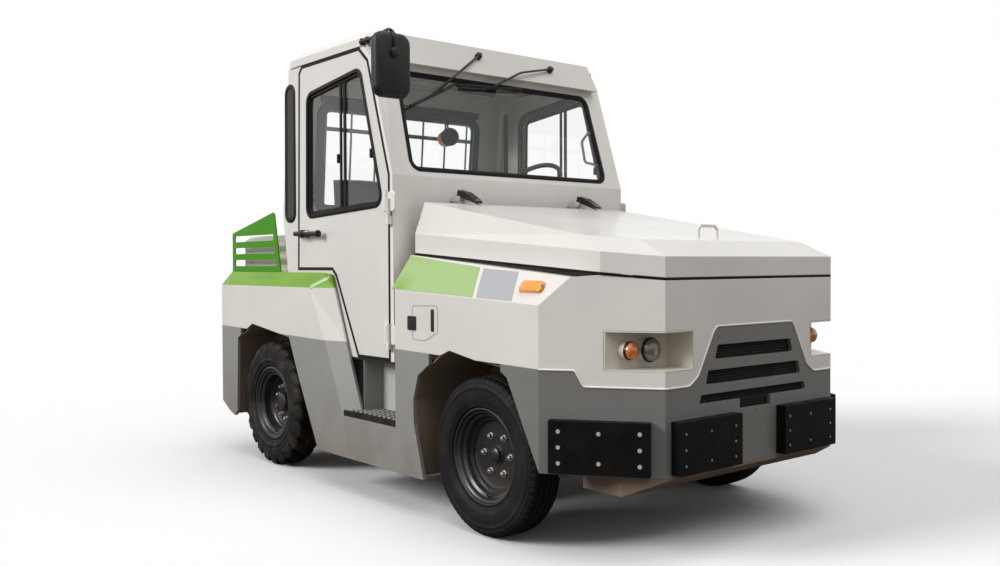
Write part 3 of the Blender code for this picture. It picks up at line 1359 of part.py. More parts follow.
def build_rear_body(looks, vehicle):
    """Rear body with both fenders, the grey tail skirt, deck, box and louvred side plates."""
    low = GREY_TOP_TAIL + SEAM
    front_low = GREY_TOP_DOOR + SEAM
    wall = CAB_HALF_WIDTH + CHASSIS_PLATE + FIT
    lows = [
        (-wall, FENDER_FRONT_LOW - FENDER_FACET_RUN, front_low),
        (-HALF_WIDTH, FENDER_FRONT_LOW, front_low),
        (-HALF_WIDTH, FENDER_CORNER, low),
        (-TAIL_HALF_WIDTH, TAIL, low),
    ]
    mids = [
        (-wall, FENDER_FRONT_HIGH - FENDER_FACET_RUN_TOP, FENDER_TOP),
        (-HALF_WIDTH, FENDER_FRONT_HIGH, FENDER_TOP),
        (-HALF_WIDTH, FENDER_CORNER, FENDER_TOP),
        (-TAIL_HALF_WIDTH, TAIL, FENDER_TOP),
    ]
    tops = [
        (-wall, FENDER_FRONT_HIGH - DECK_FRONT_LEAD, DECK_HEIGHT - RUNNING_GAP),
        (-DECK_HALF_WIDTH, FENDER_FRONT_HIGH - DECK_EDGE_LEAD, DECK_HEIGHT),
        (-DECK_HALF_WIDTH, FENDER_CORNER + DECK_CORNER_LAG, DECK_HEIGHT),
        (-TAIL_HALF_WIDTH + DECK_TAIL_INSET, TAIL - DECK_TAIL_LEAD, DECK_HEIGHT),
    ]
    half = strip(lows, mids) + strip(mids, tops)
    tail = [[lows[3], mids[3], *mirrored([mids[3], lows[3]])]]
    tail += [[mids[3], tops[3], *mirrored([tops[3], mids[3]])]]
    inside = (0, WHEELBASE, GREY_TOP_TAIL)
    body = sheet("rear_body", both_sides(half) + tail, BODY_SHEET, looks["white"], vehicle, inside)
    cut(body, rear_arch())
    trim = (FENDER_FRONT_LOW - FENDER_FACET_RUN_TOP, FENDER_FRONT_LOW + OVERRUN)
    cut(body, block((-HALF_WIDTH - OVERRUN, HALF_WIDTH + OVERRUN), trim, (front_low - OVERRUN, front_low)))

    build_rear_wheelhouses(looks, vehicle)

    flap = WHEELBASE + FLAP_FRONT_SHARE * REAR_TYRE_RADIUS
    top = GREY_TOP_TAIL
    front = flap - OVERRUN * 2
    side_face = [
        (-HALF_WIDTH, front, FLAP_BOTTOM + FLAP_FRONT_RISE),
        (-HALF_WIDTH, flap, FLAP_BOTTOM),
        (-HALF_WIDTH, FENDER_CORNER, FLAP_BOTTOM + FLAP_REAR_RISE),
        (-HALF_WIDTH, FENDER_CORNER, top),
        (-HALF_WIDTH, front, rear_grey_top(front)),
    ]
    facet = [side_face[2], (-TAIL_HALF_WIDTH, TAIL, TAIL_BOTTOM), (-TAIL_HALF_WIDTH, TAIL, top)]
    facet += [side_face[3]]
    back = [facet[1], facet[2], *mirrored([facet[2], facet[1]])]
    skirt = sheet(
        "tail_skirt",
        both_sides([side_face, facet]) + [back],
        CHASSIS_PLATE,
        looks["grey"],
        vehicle,
        (0, WHEELBASE, TAIL_BOTTOM),
    )
    cut(skirt, rear_arch())

    plan = [
        (-DECK_HALF_WIDTH + BODY_SHEET * 2, REAR_WAIST + RUNNING_GAP),
        (DECK_HALF_WIDTH - BODY_SHEET * 2, REAR_WAIST + RUNNING_GAP),
        (DECK_HALF_WIDTH - BODY_SHEET * 2, FENDER_CORNER + DECK_PLATE_LAG),
        (TAIL_HALF_WIDTH - DECK_PLATE_INSET, TAIL - DECK_PLATE_LEAD),
        (-TAIL_HALF_WIDTH + DECK_PLATE_INSET, TAIL - DECK_PLATE_LEAD),
        (-DECK_HALF_WIDTH + BODY_SHEET * 2, FENDER_CORNER + DECK_PLATE_LAG),
    ]
    base = DECK_HEIGHT
    deck = piece("rear_deck", prism(plan, "z", base - DECK_PLATE, base), looks["cream"], vehicle)
    rings = [(base - DECK_PLATE / 2, 0), (base + BOX_HEIGHT - BOX_EDGE, 0), (base + BOX_HEIGHT, BOX_EDGE)]
    sections = []
    for height, taper in rings:
        wide, front, rear = BOX_HALF_WIDTH - taper, BOX_FRONT + taper, BOX_REAR - taper
        plan = [(-wide, front), (wide, front), (wide, rear), (-wide, rear)]
        sections.append([(x, y, height) for x, y in plan])
    fuse(deck, loft(sections))

    outline = [
        (LOUVER_FRONT, base + FIT),
        (LOUVER_REAR, base + FIT),
        (LOUVER_REAR, base + LOUVER_REAR_HEIGHT),
        (LOUVER_FRONT_TOP, base + LOUVER_FRONT_HEIGHT),
        (LOUVER_FRONT_TOP - LOUVER_NIP, base + LOUVER_FRONT_HEIGHT - LOUVER_NIP / 2),
    ]
    lean = (LOUVER_FRONT_TOP - LOUVER_FRONT) / LOUVER_FRONT_HEIGHT
    for name, side in SIDES:
        faces = sorted((side * LOUVER_OFFSET, side * (LOUVER_OFFSET - LOUVER_PLATE)))
        plate = piece(f"louver_{name}", prism(outline, "x", *faces), looks["green"], vehicle)
        for rise in LOUVER_SLOT_HEIGHTS:
            front = LOUVER_FRONT + LOUVER_MARGIN + lean * rise
            slot = [
                (front, base + rise - LOUVER_SLOT / 2),
                (LOUVER_REAR - LOUVER_MARGIN, base + rise - LOUVER_SLOT / 2),
                (LOUVER_REAR - LOUVER_MARGIN, base + rise + LOUVER_SLOT / 2),
                (front, base + rise + LOUVER_SLOT / 2),
            ]
            reach = (min(faces) - OVERRUN, max(faces) + OVERRUN)
            cut(plate, prism(rounded(slot, LOUVER_SLOT * 0.3, 3), "x", *reach))


def build_chassis(looks, vehicle):
    """Ladder frame, cab floor and the battery block under the hood."""
    plate_face = HALF_WIDTH - CHASSIS_PLATE - FIT
    front = -NOSE_OVERHANG + CHASSIS_PLATE + FIT
    rear = TAIL - CHASSIS_PLATE - FIT
    half = RAIL_WIDTH / 2
    rails = [(side * RAIL_HALF_SPREAD - half, side * RAIL_HALF_SPREAD + half) for _, side in SIDES]
    frame = piece(
        "chassis_frame", block(rails[0], (front, rear), (RAIL_LOW, RAIL_HIGH)), looks["underside"], vehicle
    )
    fuse(frame, block(rails[1], (front, rear), (RAIL_LOW, RAIL_HIGH)))
    crosses = [
        # station, half width
        (DOOR_CROSS, WELL_HALF_WIDTH - FLOOR_PLATE - FIT),
        (WAIST_CROSS, plate_face),
        (rear - TAIL_CROSS_SETBACK, plate_face - TAIL_CROSS_GAP),
    ]
    for station, wide in crosses:
        span = (station - CROSS_WIDTH / 2, station + CROSS_WIDTH / 2)
        fuse(frame, block((-wide, wide), span, (CROSS_LOW, CROSS_HIGH)))
    wide = BUMPER_BEAM_HALF_WIDTH
    beam = block((-wide, wide), (front, front + BUMPER_BEAM_DEPTH), (BUMPER_BEAM_LOW, BUMPER_BEAM_HIGH))
    fuse(frame, beam)

    wide = CAB_HALF_WIDTH - FIT
    floor_top = CAB_FLOOR - FIT
    floor = (floor_top - FLOOR_PLATE, floor_top)
    span = (COWL_FRONT + REAR_CORNER, REAR_FLOOR_LINE - REAR_CORNER)
    piece("cab_floor", block((-wide, wide), span, floor), looks["black"], vehicle)
    wide = BATTERY_HALF_WIDTH
    stand = RAIL_HIGH + FIT
    battery = block((-wide, wide), (-BATTERY_FRONT, BATTERY_REAR), (stand, stand + BATTERY_HEIGHT))
    piece("battery", battery, looks["grey"], vehicle)


def tyre(centre, radius, width, rim_share, lugs, lug_depth, side):
    """A tyre as one ring of sections: its outline drops by the groove depth between lugs."""
    bead = radius * rim_share
    wall = radius - bead
    half = width / 2
    profile = [
        # radius, outward, groove share
        (bead, -half * 0.80, 0),
        (bead + wall * 0.62, -half, 0),
        (bead + wall * 0.86, -half * 0.94, 0.7),
        (radius, -half * 0.80, 1),
        (radius, -half * 0.12, 1),
        (radius, half * 0.12, 1),
        (radius, half * 0.80, 1),
        (bead + wall * 0.86, half * 0.94, 0.7),
        (bead + wall * 0.62, half, 0),
        (bead, half * 0.80, 0),
    ]
    phases = LUG_PHASE_SHARES if lug_depth else LUG_PHASE_SHARES[:1]
    bm = bmesh.new()
    cx, cy, cz = centre
    rings = []
    pitch = 2 * pi / lugs
    for lug in range(lugs):
        for phase, sunk in phases:
            ring = []
            for ring_radius, outward, groove in profile:
                middle = abs(outward) < half * 0.2
                r = ring_radius - (0 if middle else lug_depth * groove * sunk)
                angle = (lug + phase) * pitch
                if groove:
                    angle += 0.5 * pitch * abs(outward) / half
                ring.append(bm.verts.new((cx + side * outward, cy + r * cos(angle), cz + r * sin(angle))))
            rings.append(ring)
    count = len(profile)
    for i, ring in enumerate(rings):
        after = rings[(i + 1) % len(rings)]
        for k in range(count):
            j = (k + 1) % count
            bm.faces.new((ring[k], ring[j], after[j], after[k]))
    return closed(bm)


def rim(centre, radius, width, side, dish, rise):
    """A deep dished disc wheel as one turned body."""
    half = width / 2
    bead = radius - FIT
    barrel = bead - RIM_WALL
    bore = (STUB_RADIUS + FIT) / cos(pi / RIM_STEPS)
    plate = half - dish
    profile = [
        (0, plate + rise),
        (HUB_RADIUS * 0.85, plate + rise),
        (HUB_RADIUS, plate + rise * 0.8),
        (HUB_RADIUS, plate),
        (barrel * 0.72, plate),
        (barrel * 0.76, plate + dish * 0.25),
        (barrel * 0.85, plate + dish * 0.35),
        (barrel * 0.90, half * 0.60),
        (barrel, half * 0.78),
        (bead - RIM_WALL / 2, half * 0.80),
        (bead, half * 0.75),
        (bead, -half * 0.75),
        (bead - RIM_WALL / 2, -half * 0.80),
        (barrel, -half * 0.78),
        (barrel, plate - WHEEL_PLATE * 1.5),
        (bore, plate - WHEEL_PLATE),
        (bore, plate + rise * 0.5),
        (0, plate + rise * 0.5),
    ]
    return turned(profile, centre, RIM_STEPS, side)


def build_wheels(looks, vehicle):
    """Axles, steering knuckles and the four wheels."""
    axle_top = FRONT_TYRE_RADIUS + AXLE_HALF_HEIGHT
    beam_end = KINGPIN_SPREAD - KNUCKLE_RADIUS - RUN_GAP
    beam = piece(
        "front_axle",
        block(
            (-beam_end, beam_end),
            (-AXLE_HALF_DEPTH, AXLE_HALF_DEPTH),
            (FRONT_TYRE_RADIUS - AXLE_HALF_HEIGHT, axle_top),
        ),
        looks["underside"],
        vehicle,
    )
    for name, side in SIDES:
        pin_x = side * KINGPIN_SPREAD
        for end in (-1, 1):
            z0 = FRONT_TYRE_RADIUS + end * (KNUCKLE_HALF_HEIGHT + FIT)
            z1 = z0 + end * AXLE_HALF_HEIGHT
            ear = block(
                sorted((side * (beam_end - OVERRUN), pin_x + side * KNUCKLE_RADIUS)),
                (-KINGPIN_RADIUS, KINGPIN_RADIUS),
                sorted((z0, z1)),
            )
            fuse(beam, ear)
            web = block(
                sorted((side * (beam_end - OVERRUN), side * beam_end)),
                (-KINGPIN_RADIUS, KINGPIN_RADIUS),
                sorted((FRONT_TYRE_RADIUS, z1)),
            )
            fuse(beam, web)
        steer = anchor(f"steer_{name}", (pin_x, 0, FRONT_TYRE_RADIUS), vehicle)
        hub_x = FRONT_TYRE_FACE - FRONT_DISH + FRONT_HUB_RISE * 0.5 - RUN_GAP
        knuckle = piece(
            f"knuckle_{name}",
            cylinder((pin_x, 0, FRONT_TYRE_RADIUS), "z", KNUCKLE_RADIUS, KNUCKLE_HALF_HEIGHT * 2, 20),
            looks["underside"],
            steer,
        )
        stub = cylinder(
            (side * (KINGPIN_SPREAD + hub_x) / 2, 0, FRONT_TYRE_RADIUS),
            "x",
            STUB_RADIUS,
            hub_x - KINGPIN_SPREAD,
            20,
        )
        fuse(knuckle, stub)
        spin = anchor(f"front_wheel_{name}", (side * FRONT_TYRE_FACE, 0, FRONT_TYRE_RADIUS), steer)
        centre = (side * (FRONT_TYRE_FACE - FRONT_TYRE_WIDTH / 2), 0, FRONT_TYRE_RADIUS)
        bead = FRONT_TYRE_RADIUS * FRONT_RIM_SHARE * cos(pi / FRONT_TYRE_STEPS)
        piece(
            f"front_tyre_{name}",
            tyre(
                centre, FRONT_TYRE_RADIUS, FRONT_TYRE_WIDTH, FRONT_RIM_SHARE, FRONT_TYRE_STEPS, 0, side
            ),
            looks["tyre"],
            spin,
        )
        dished = rim(centre, bead, FRONT_TYRE_WIDTH, side, FRONT_DISH, FRONT_HUB_RISE)
        piece(f"front_rim_{name}", dished, looks["black"], spin, smooth=True)

        hub_x = REAR_TYRE_FACE - REAR_DISH + REAR_HUB_RISE * 0.5 - RUN_GAP
        spin = anchor(f"rear_wheel_{name}", (side * REAR_TYRE_FACE, WHEELBASE, REAR_TYRE_RADIUS), vehicle)
        centre = (side * (REAR_TYRE_FACE - REAR_TYRE_WIDTH / 2), WHEELBASE, REAR_TYRE_RADIUS)
        bead = REAR_TYRE_RADIUS * REAR_RIM_SHARE * cos(pi * LUG_PHASE_SHARES[1][0] / REAR_LUG_COUNT)
        sizes = (REAR_TYRE_RADIUS, REAR_TYRE_WIDTH, REAR_RIM_SHARE)
        piece(
            f"rear_tyre_{name}",
            tyre(centre, *sizes, REAR_LUG_COUNT, REAR_LUG_DEPTH, side),
            looks["tyre"],
            spin,
        )
        dished = rim(centre, bead, REAR_TYRE_WIDTH, side, REAR_DISH, REAR_HUB_RISE)
        piece(f"rear_rim_{name}", dished, looks["black"], spin, smooth=True)

    tube_length = 2 * (REAR_TYRE_FACE - REAR_TYRE_WIDTH - RUN_GAP)
    axle = piece(
        "rear_axle",
        cylinder((0, WHEELBASE, REAR_TYRE_RADIUS), "x", AXLE_TUBE_RADIUS, tube_length, 20),
        looks["underside"],
        vehicle,
    )
    fuse(axle, cylinder((0, WHEELBASE, REAR_TYRE_RADIUS), "x", STUB_RADIUS, 2 * hub_x, 20))
    middle = (0, WHEELBASE, REAR_TYRE_RADIUS)
    fuse(axle, cylinder(middle, "x", DIFFERENTIAL_RADIUS, DIFFERENTIAL_HALF_WIDTH * 2, 24))
    springs = [
        # axle, station, lowest face
        (beam, 0, axle_top - SPRING_THICKNESS / 10),
        (axle, WHEELBASE, REAR_TYRE_RADIUS + AXLE_TUBE_RADIUS * 0.9),
    ]
    for carrier, station, seat in springs:
        for _, side in SIDES:
            rise = RAIL_LOW - FIT - seat - SPRING_THICKNESS
            low, high = [], []
            for share in (-1, -0.5, 0, 0.5, 1):
                y = station + share * SPRING_HALF_LENGTH
                z = seat + rise * share * share
                low.append((y, z))
                high.append((y, z + SPRING_THICKNESS))
            x = side * SPRING_HALF_SPREAD
            fuse(carrier, prism(low + high[::-1], "x", x - SPRING_WIDTH / 2, x + SPRING_WIDTH / 2))


def build_fittings(looks, vehicle):
    """Mirror, wipers, grab rails, window guard, hitch, seats, dashboard and steering wheel."""
    for name, side in SIDES[:1]:
        half_w, half_h = MIRROR_WIDTH / 2, MIRROR_LENGTH / 2
        cx = side * MIRROR_HALF_SPREAD
        frame = [
            (cx - half_w, MIRROR_HEIGHT - half_h),
            (cx + half_w, MIRROR_HEIGHT - half_h),
            (cx + half_w, MIRROR_HEIGHT + half_h),
            (cx - half_w, MIRROR_HEIGHT + half_h),
        ]
        outline = rounded(frame, MIRROR_CORNER, 5)
        small = inset(outline, MIRROR_THICKNESS / 3)
        head = loft(
            [
                [(x, MIRROR_LEAD, z) for x, z in small],
                [(x, MIRROR_LEAD + MIRROR_THICKNESS * 0.4, z) for x, z in outline],
                [(x, MIRROR_LEAD + MIRROR_THICKNESS, z) for x, z in outline],
            ]
        )
        mirror = piece(f"mirror_{name}", head, looks["black"], vehicle)
        middle_y = MIRROR_LEAD + MIRROR_THICKNESS / 2
        bracket_y = ROOF_FRONT + ROOF_CORNER
        out = side * (CAB_HALF_WIDTH + ROOF_SIDE_LIP + ARM_RADIUS + FIT)
        top = ROOF_HEIGHT - ARM_DROP
        route = [
            (out, bracket_y + ARM_FOOT, top),
            (out, bracket_y - ARM_FOOT, top),
            (side * MIRROR_HALF_SPREAD, middle_y, top - ARM_RADIUS * 2),
            (side * MIRROR_HALF_SPREAD, middle_y, MIRROR_HEIGHT + half_h * 0.8),
        ]
        fuse(mirror, tube(route, ARM_RADIUS, 8))

    for name, side in SIDES:
        pivot, elbow, first, last = WIPER_POINTS[name]
        lean = visor_station(1) - visor_station(0)
        skin = FIT * sqrt(1 + lean * lean)
        visor_skin = [
            (VISOR_FRONT - skin, VISOR_LOW),
            (visor_station(ROOF_HEIGHT) - skin, ROOF_HEIGHT),
            (visor_station(ROOF_HEIGHT) + OVERRUN, ROOF_HEIGHT),
            (VISOR_FRONT + OVERRUN, VISOR_LOW),
        ]
        visor = visor_station(CAB_EAVES + pivot[1])
        blade = []
        for x, rise in (first, last):
            height = CAB_EAVES + rise
            blade.append(Vector((x, screen_station(height) - WIPER_BLADE_OUT, height)))
        bend = CAB_EAVES + elbow[1]
        route = [
            (pivot[0], visor + WIPER_ARM_RADIUS, CAB_EAVES + pivot[1]),
            (pivot[0], visor - WIPER_PIVOT_OUT, CAB_EAVES + pivot[1]),
            (elbow[0], visor_station(bend) - elbow[2], bend),
            blade[0].lerp(blade[1], WIPER_JOINT_SHARE),
        ]
        wiper = piece(f"wiper_{name}", tube(route, WIPER_ARM_RADIUS, 6), looks["black"], vehicle)
        fuse(wiper, tube(blade, WIPER_ARM_RADIUS, 6))
        cut(wiper, prism(visor_skin, "x", pivot[0] - OVERRUN, pivot[0] + OVERRUN))

        grip_x = side * GRIP_HALF_SPREAD

        def wall_at(height):
            share = (height - REAR_WAIST_HEIGHT) / (CAB_EAVES - REAR_WAIST_HEIGHT)
            return REAR_WAIST + (REAR_TOP_LINE - REAR_WAIST) * share + FIT

        route = [
            (grip_x, wall_at(GRIP_LOW) + GRIP_SINK, GRIP_LOW),
            (grip_x, wall_at(GRIP_LOW) + GRIP_STANDOFF, GRIP_LOW),
            (grip_x, wall_at(GRIP_HIGH) + GRIP_STANDOFF, GRIP_HIGH),
            (grip_x, wall_at(GRIP_HIGH) + GRIP_SINK, GRIP_HIGH),
        ]
        piece(f"grab_rail_{name}", tube(route, RAIL_GRIP_RADIUS, 8), looks["yellow"], vehicle)

        seat_x = side * SEAT_HALF_SPREAD
        base_top = SEAT_HEIGHT - SEAT_CUSHION
        half = SEAT_WIDTH / 2
        rear = SEAT_STATION + SEAT_DEPTH
        pedestal = block(
            (seat_x - half * 0.8, seat_x + half * 0.8),
            (SEAT_STATION + SEAT_BASE_INSET, rear - SEAT_BASE_INSET),
            (CAB_FLOOR, base_top + SEAT_SINK),
        )
        seat = piece(f"seat_{name}", pedestal, looks["seat"], vehicle)
        fuse(seat, block((seat_x - half, seat_x + half), (SEAT_STATION, rear), (base_top, SEAT_HEIGHT)))
        lean = SEAT_BACK_THICKNESS * 0.6
        back = [
            (rear - SEAT_BACK_THICKNESS, SEAT_HEIGHT - SEAT_SINK),
            (rear, SEAT_HEIGHT - SEAT_SINK),
            (rear + lean, SEAT_HEIGHT + SEAT_BACK_HEIGHT),
            (rear + lean - SEAT_BACK_THICKNESS * 0.7, SEAT_HEIGHT + SEAT_BACK_HEIGHT),
        ]
        fuse(seat, prism(back, "x", seat_x - half * 0.95, seat_x + half * 0.95))

    guard_y = REAR_WAIST + RUNNING_GAP
    bars = []
    for index in range(GUARD_BAR_COUNT):
        x = -GUARD_HALF_WIDTH + 2 * GUARD_HALF_WIDTH * index / (GUARD_BAR_COUNT - 1)
        foot = (x, guard_y, REAR_WINDOW_LOW - OVERRUN)
        bars.append([foot, (x, guard_y - GUARD_LEAN, REAR_WINDOW_HIGH + OVERRUN)])
    rails = []
    for share in (0, 1):
        y = guard_y - GUARD_LEAN * share
        z = REAR_WINDOW_LOW - OVERRUN + share * (REAR_WINDOW_HIGH - REAR_WINDOW_LOW + OVERRUN * 2)
        rails.append([(-GUARD_HALF_WIDTH - OVERRUN, y, z), (GUARD_HALF_WIDTH + OVERRUN, y, z)])
    guard = piece("window_guard", tube(rails[0], GUARD_BAR_RADIUS * 1.3, 8), looks["black"], vehicle)
    for route in rails[1:] + bars:
        fuse(guard, tube(route, GUARD_BAR_RADIUS if route in bars else GUARD_BAR_RADIUS * 1.3, 6))

    tail = TAIL + FIT
    low, high = HITCH_JAW_HEIGHTS[0], HITCH_JAW_HEIGHTS[-1]
    wide = HITCH_HALF_WIDTH
    hitch = piece(
        "tow_hitch",
        block((-wide, wide), (tail, tail + HITCH_PLATE), (low, high + HITCH_PLATE)),
        looks["black"],
        vehicle,
    )
    for height in HITCH_JAW_HEIGHTS:
        span = (tail + HITCH_PLATE / 2, TAIL + HITCH_LENGTH)
        fuse(hitch, block((-wide, wide), span, (height, height + HITCH_PLATE)))
    pin_y = TAIL + HITCH_LENGTH - HITCH_PIN_RADIUS * 2.2
    bore = HITCH_PIN_RADIUS + FIT
    span = high - low + HITCH_PLATE + OVERRUN
    cut(hitch, cylinder((0, pin_y, (low + high) / 2), "z", bore, span + OVERRUN, 20))
    shaft = high + HITCH_PLATE + HITCH_PIN_RISE - low
    pin = piece(
        "hitch_pin",
        cylinder((0, pin_y, low + shaft / 2), "z", HITCH_PIN_RADIUS, shaft, 20),
        looks["steel"],
        vehicle,
    )
    collar_z = high + HITCH_PLATE + HITCH_COLLAR / 2 + FIT
    fuse(pin, cylinder((0, pin_y, collar_z), "z", HITCH_PIN_RADIUS * 1.8, HITCH_COLLAR, 20))

    dash = [
        (cowl_station(DASH_LOW) + CHASSIS_PLATE + FIT, DASH_LOW),
        (COWL_FRONT + CHASSIS_PLATE * 2 + DASH_DEPTH * 0.6, DASH_LOW),
        (COWL_FRONT + CHASSIS_PLATE * 2 + DASH_DEPTH, DASH_HEIGHT - DASH_BROW),
        (cowl_station(DASH_HEIGHT) + CHASSIS_PLATE + FIT, DASH_HEIGHT),
    ]
    wide = COWL_HALF_WIDTH - CHASSIS_PLATE * 2
    dashboard = piece("dashboard", prism(dash, "x", -wide, wide), looks["black"], vehicle)

    x = STEERING_SPREAD
    tilt = Matrix.Rotation(-pi / 5, 4, "X")
    bm = bmesh.new()
    steps, sides = 24, 8
    rings = []
    for k in range(steps):
        turn = 2 * pi * k / steps
        ring = []
        for m in range(sides):
            phi = 2 * pi * m / sides
            r = STEERING_RADIUS + STEERING_GRIP * cos(phi)
            ring.append(bm.verts.new((r * cos(turn), r * sin(turn), STEERING_GRIP * sin(phi))))
        rings.append(ring)
    for i, ring in enumerate(rings):
        after = rings[(i + 1) % steps]
        for m in range(sides):
            j = (m + 1) % sides
            bm.faces.new((ring[m], ring[j], after[j], after[m]))
    centre = Matrix.Translation((x, STEERING_STATION, STEERING_HEIGHT)) @ tilt
    bmesh.ops.transform(bm, matrix=centre, verts=bm.verts)
    wheel = piece("steering_wheel", closed(bm), looks["black"], vehicle)
    for k in range(3):
        turn = 2 * pi * k / 3 + pi / 2
        end = centre @ Vector((STEERING_RADIUS * cos(turn), STEERING_RADIUS * sin(turn), 0))
        hub = centre @ Vector((0, 0, -STEERING_HUB_SINK))
        fuse(wheel, tube([hub, end], STEERING_GRIP * 0.8, 6))
    column = [centre @ Vector((0, 0, along)) for along in (STEERING_GRIP / 2, -COLUMN_LENGTH)]
    fuse(wheel, tube(column, COLUMN_RADIUS, 10))
    column[1] = centre @ Vector((0, 0, -COLUMN_LENGTH - FIT))
    cut(dashboard, tube(column, COLUMN_RADIUS + FIT, 10))


def main():
    for old in list(bpy.data.objects):
        bpy.data.objects.remove(old, do_unlink=True)
    looks = {
        # colour, roughness, metallic
        "white": material("white_paint", (0.78, 0.77, 0.74), 0.35),
        "cream": material("cream_paint", (0.74, 0.71, 0.64), 0.40),
        "grey": material("grey_paint", (0.26, 0.26, 0.255), 0.42),
        "green": material("green_paint", (0.10, 0.30, 0.01), 0.40),
        "underside": material("underside_paint", (0.05, 0.042, 0.038), 0.70),
        "black": material("black_paint", (0.015, 0.015, 0.016), 0.45),
        "rubber": material("rubber", (0.020, 0.020, 0.021), 0.75),
        "tyre": material("tyre_rubber", (0.022, 0.021, 0.020), 0.80),
        "glass": material("glass", (0.35, 0.40, 0.40), 0.05),
        "yellow": material("yellow_paint", (0.85, 0.55, 0.02), 0.40),
        "steel": material("steel", (0.45, 0.45, 0.46), 0.35, 1.0),
        "seat": material("seat_vinyl", (0.040, 0.045, 0.050), 0.60),
    }
    PIVOTS["vehicle"] = Vector()
    vehicle = anchor("vehicle", (0, 0, 0))
    vehicle.location = (0, -MID_LENGTH, 0)
    build_chassis(looks, vehicle)
    build_nose(looks, vehicle)
    build_front_body(looks, vehicle)
    build_lamps(looks, vehicle)
    build_hood(looks, vehicle)
    build_cab_front(looks, vehicle)
    build_cab_rear(looks, vehicle)
    build_roof(looks, vehicle)
    build_doors(looks, vehicle)
    build_skirts(looks, vehicle)
    build_rear_body(looks, vehicle)
    build_wheels(looks, vehicle)
    build_fittings(looks, vehicle)


main()
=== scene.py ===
import json
from math import cos, pi, radians, sin

import bmesh
import bpy
from mathutils import Matrix, Vector


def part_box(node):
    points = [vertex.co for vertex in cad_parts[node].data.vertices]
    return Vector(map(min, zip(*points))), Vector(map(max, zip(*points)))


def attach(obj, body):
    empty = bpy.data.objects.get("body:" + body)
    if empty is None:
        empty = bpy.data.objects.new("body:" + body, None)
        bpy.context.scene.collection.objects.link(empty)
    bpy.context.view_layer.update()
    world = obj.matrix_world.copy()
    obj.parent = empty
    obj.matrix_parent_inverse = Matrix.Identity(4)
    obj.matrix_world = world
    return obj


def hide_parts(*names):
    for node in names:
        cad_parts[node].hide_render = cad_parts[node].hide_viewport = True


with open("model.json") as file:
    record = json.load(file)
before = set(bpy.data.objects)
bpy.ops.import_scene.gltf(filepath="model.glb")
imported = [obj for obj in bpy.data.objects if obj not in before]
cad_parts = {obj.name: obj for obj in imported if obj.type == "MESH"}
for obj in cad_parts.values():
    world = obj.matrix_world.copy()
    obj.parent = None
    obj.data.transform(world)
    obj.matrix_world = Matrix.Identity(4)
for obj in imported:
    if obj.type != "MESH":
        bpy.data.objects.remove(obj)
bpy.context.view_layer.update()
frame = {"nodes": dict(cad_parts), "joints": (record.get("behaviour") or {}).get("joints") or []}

bl_info = {
    "name": "Baggage tractor looks",
    "version": (1, 0, 0),
    "blender": (4, 5, 0),
    "location": "View3D > Sidebar > Tractor",
    "description": "Paints and dresses an airport baggage tractor around its fixed frame",
    "category": "Object",
}

# The photograph's camera
PHOTO_SIZE = (1000, 566)
SENSOR_WIDTH = 36.0
FOCAL_PIXELS = 976.36
CAMERA_PLACE = Vector((-3.680, -4.5135, 1.2665))
CAMERA_HEADING = 0.6917
CAMERA_DIP = 0.0205
CAMERA_ROLL = -0.0040

# Sizes of the body that no single CAD node's box gives
MID_LENGTH = 1.001
BODY_HALF_WIDTH = 0.925
CAB_HALF_WIDTH = 0.860
FENDER_EDGE = 1.128
INNER_HALF_WIDTH = 0.846
SCREEN_RAKE = 0.300
SCREEN_FOOT = (0.772, 1.747)
REAR_LEAN = 0.0991
REAR_WALL_FOOT = (2.018, 1.557)
SKIN_GAP = 0.0020

SIDES = (("right", -1), ("left", 1))
WHEEL_JOINTS = {
    "front_right": "front_wheel_right_spin",
    "front_left": "front_wheel_left_spin",
    "rear_right": "rear_wheel_right_spin",
    "rear_left": "rear_wheel_left_spin",
}
LOOKS = {}


def station(along):
    """World y of a station counted from the front axle."""
    return along - MID_LENGTH


def spot_at(x, along, height):
    return Vector((x, station(along), height))


def joint_place(name):
    return Vector(next(joint["pos_m"] for joint in frame["joints"] if joint["name"] == name))


# Settings that a user would change


COLOUR = {"subtype": "COLOR", "size": 3, "min": 0, "max": 1}


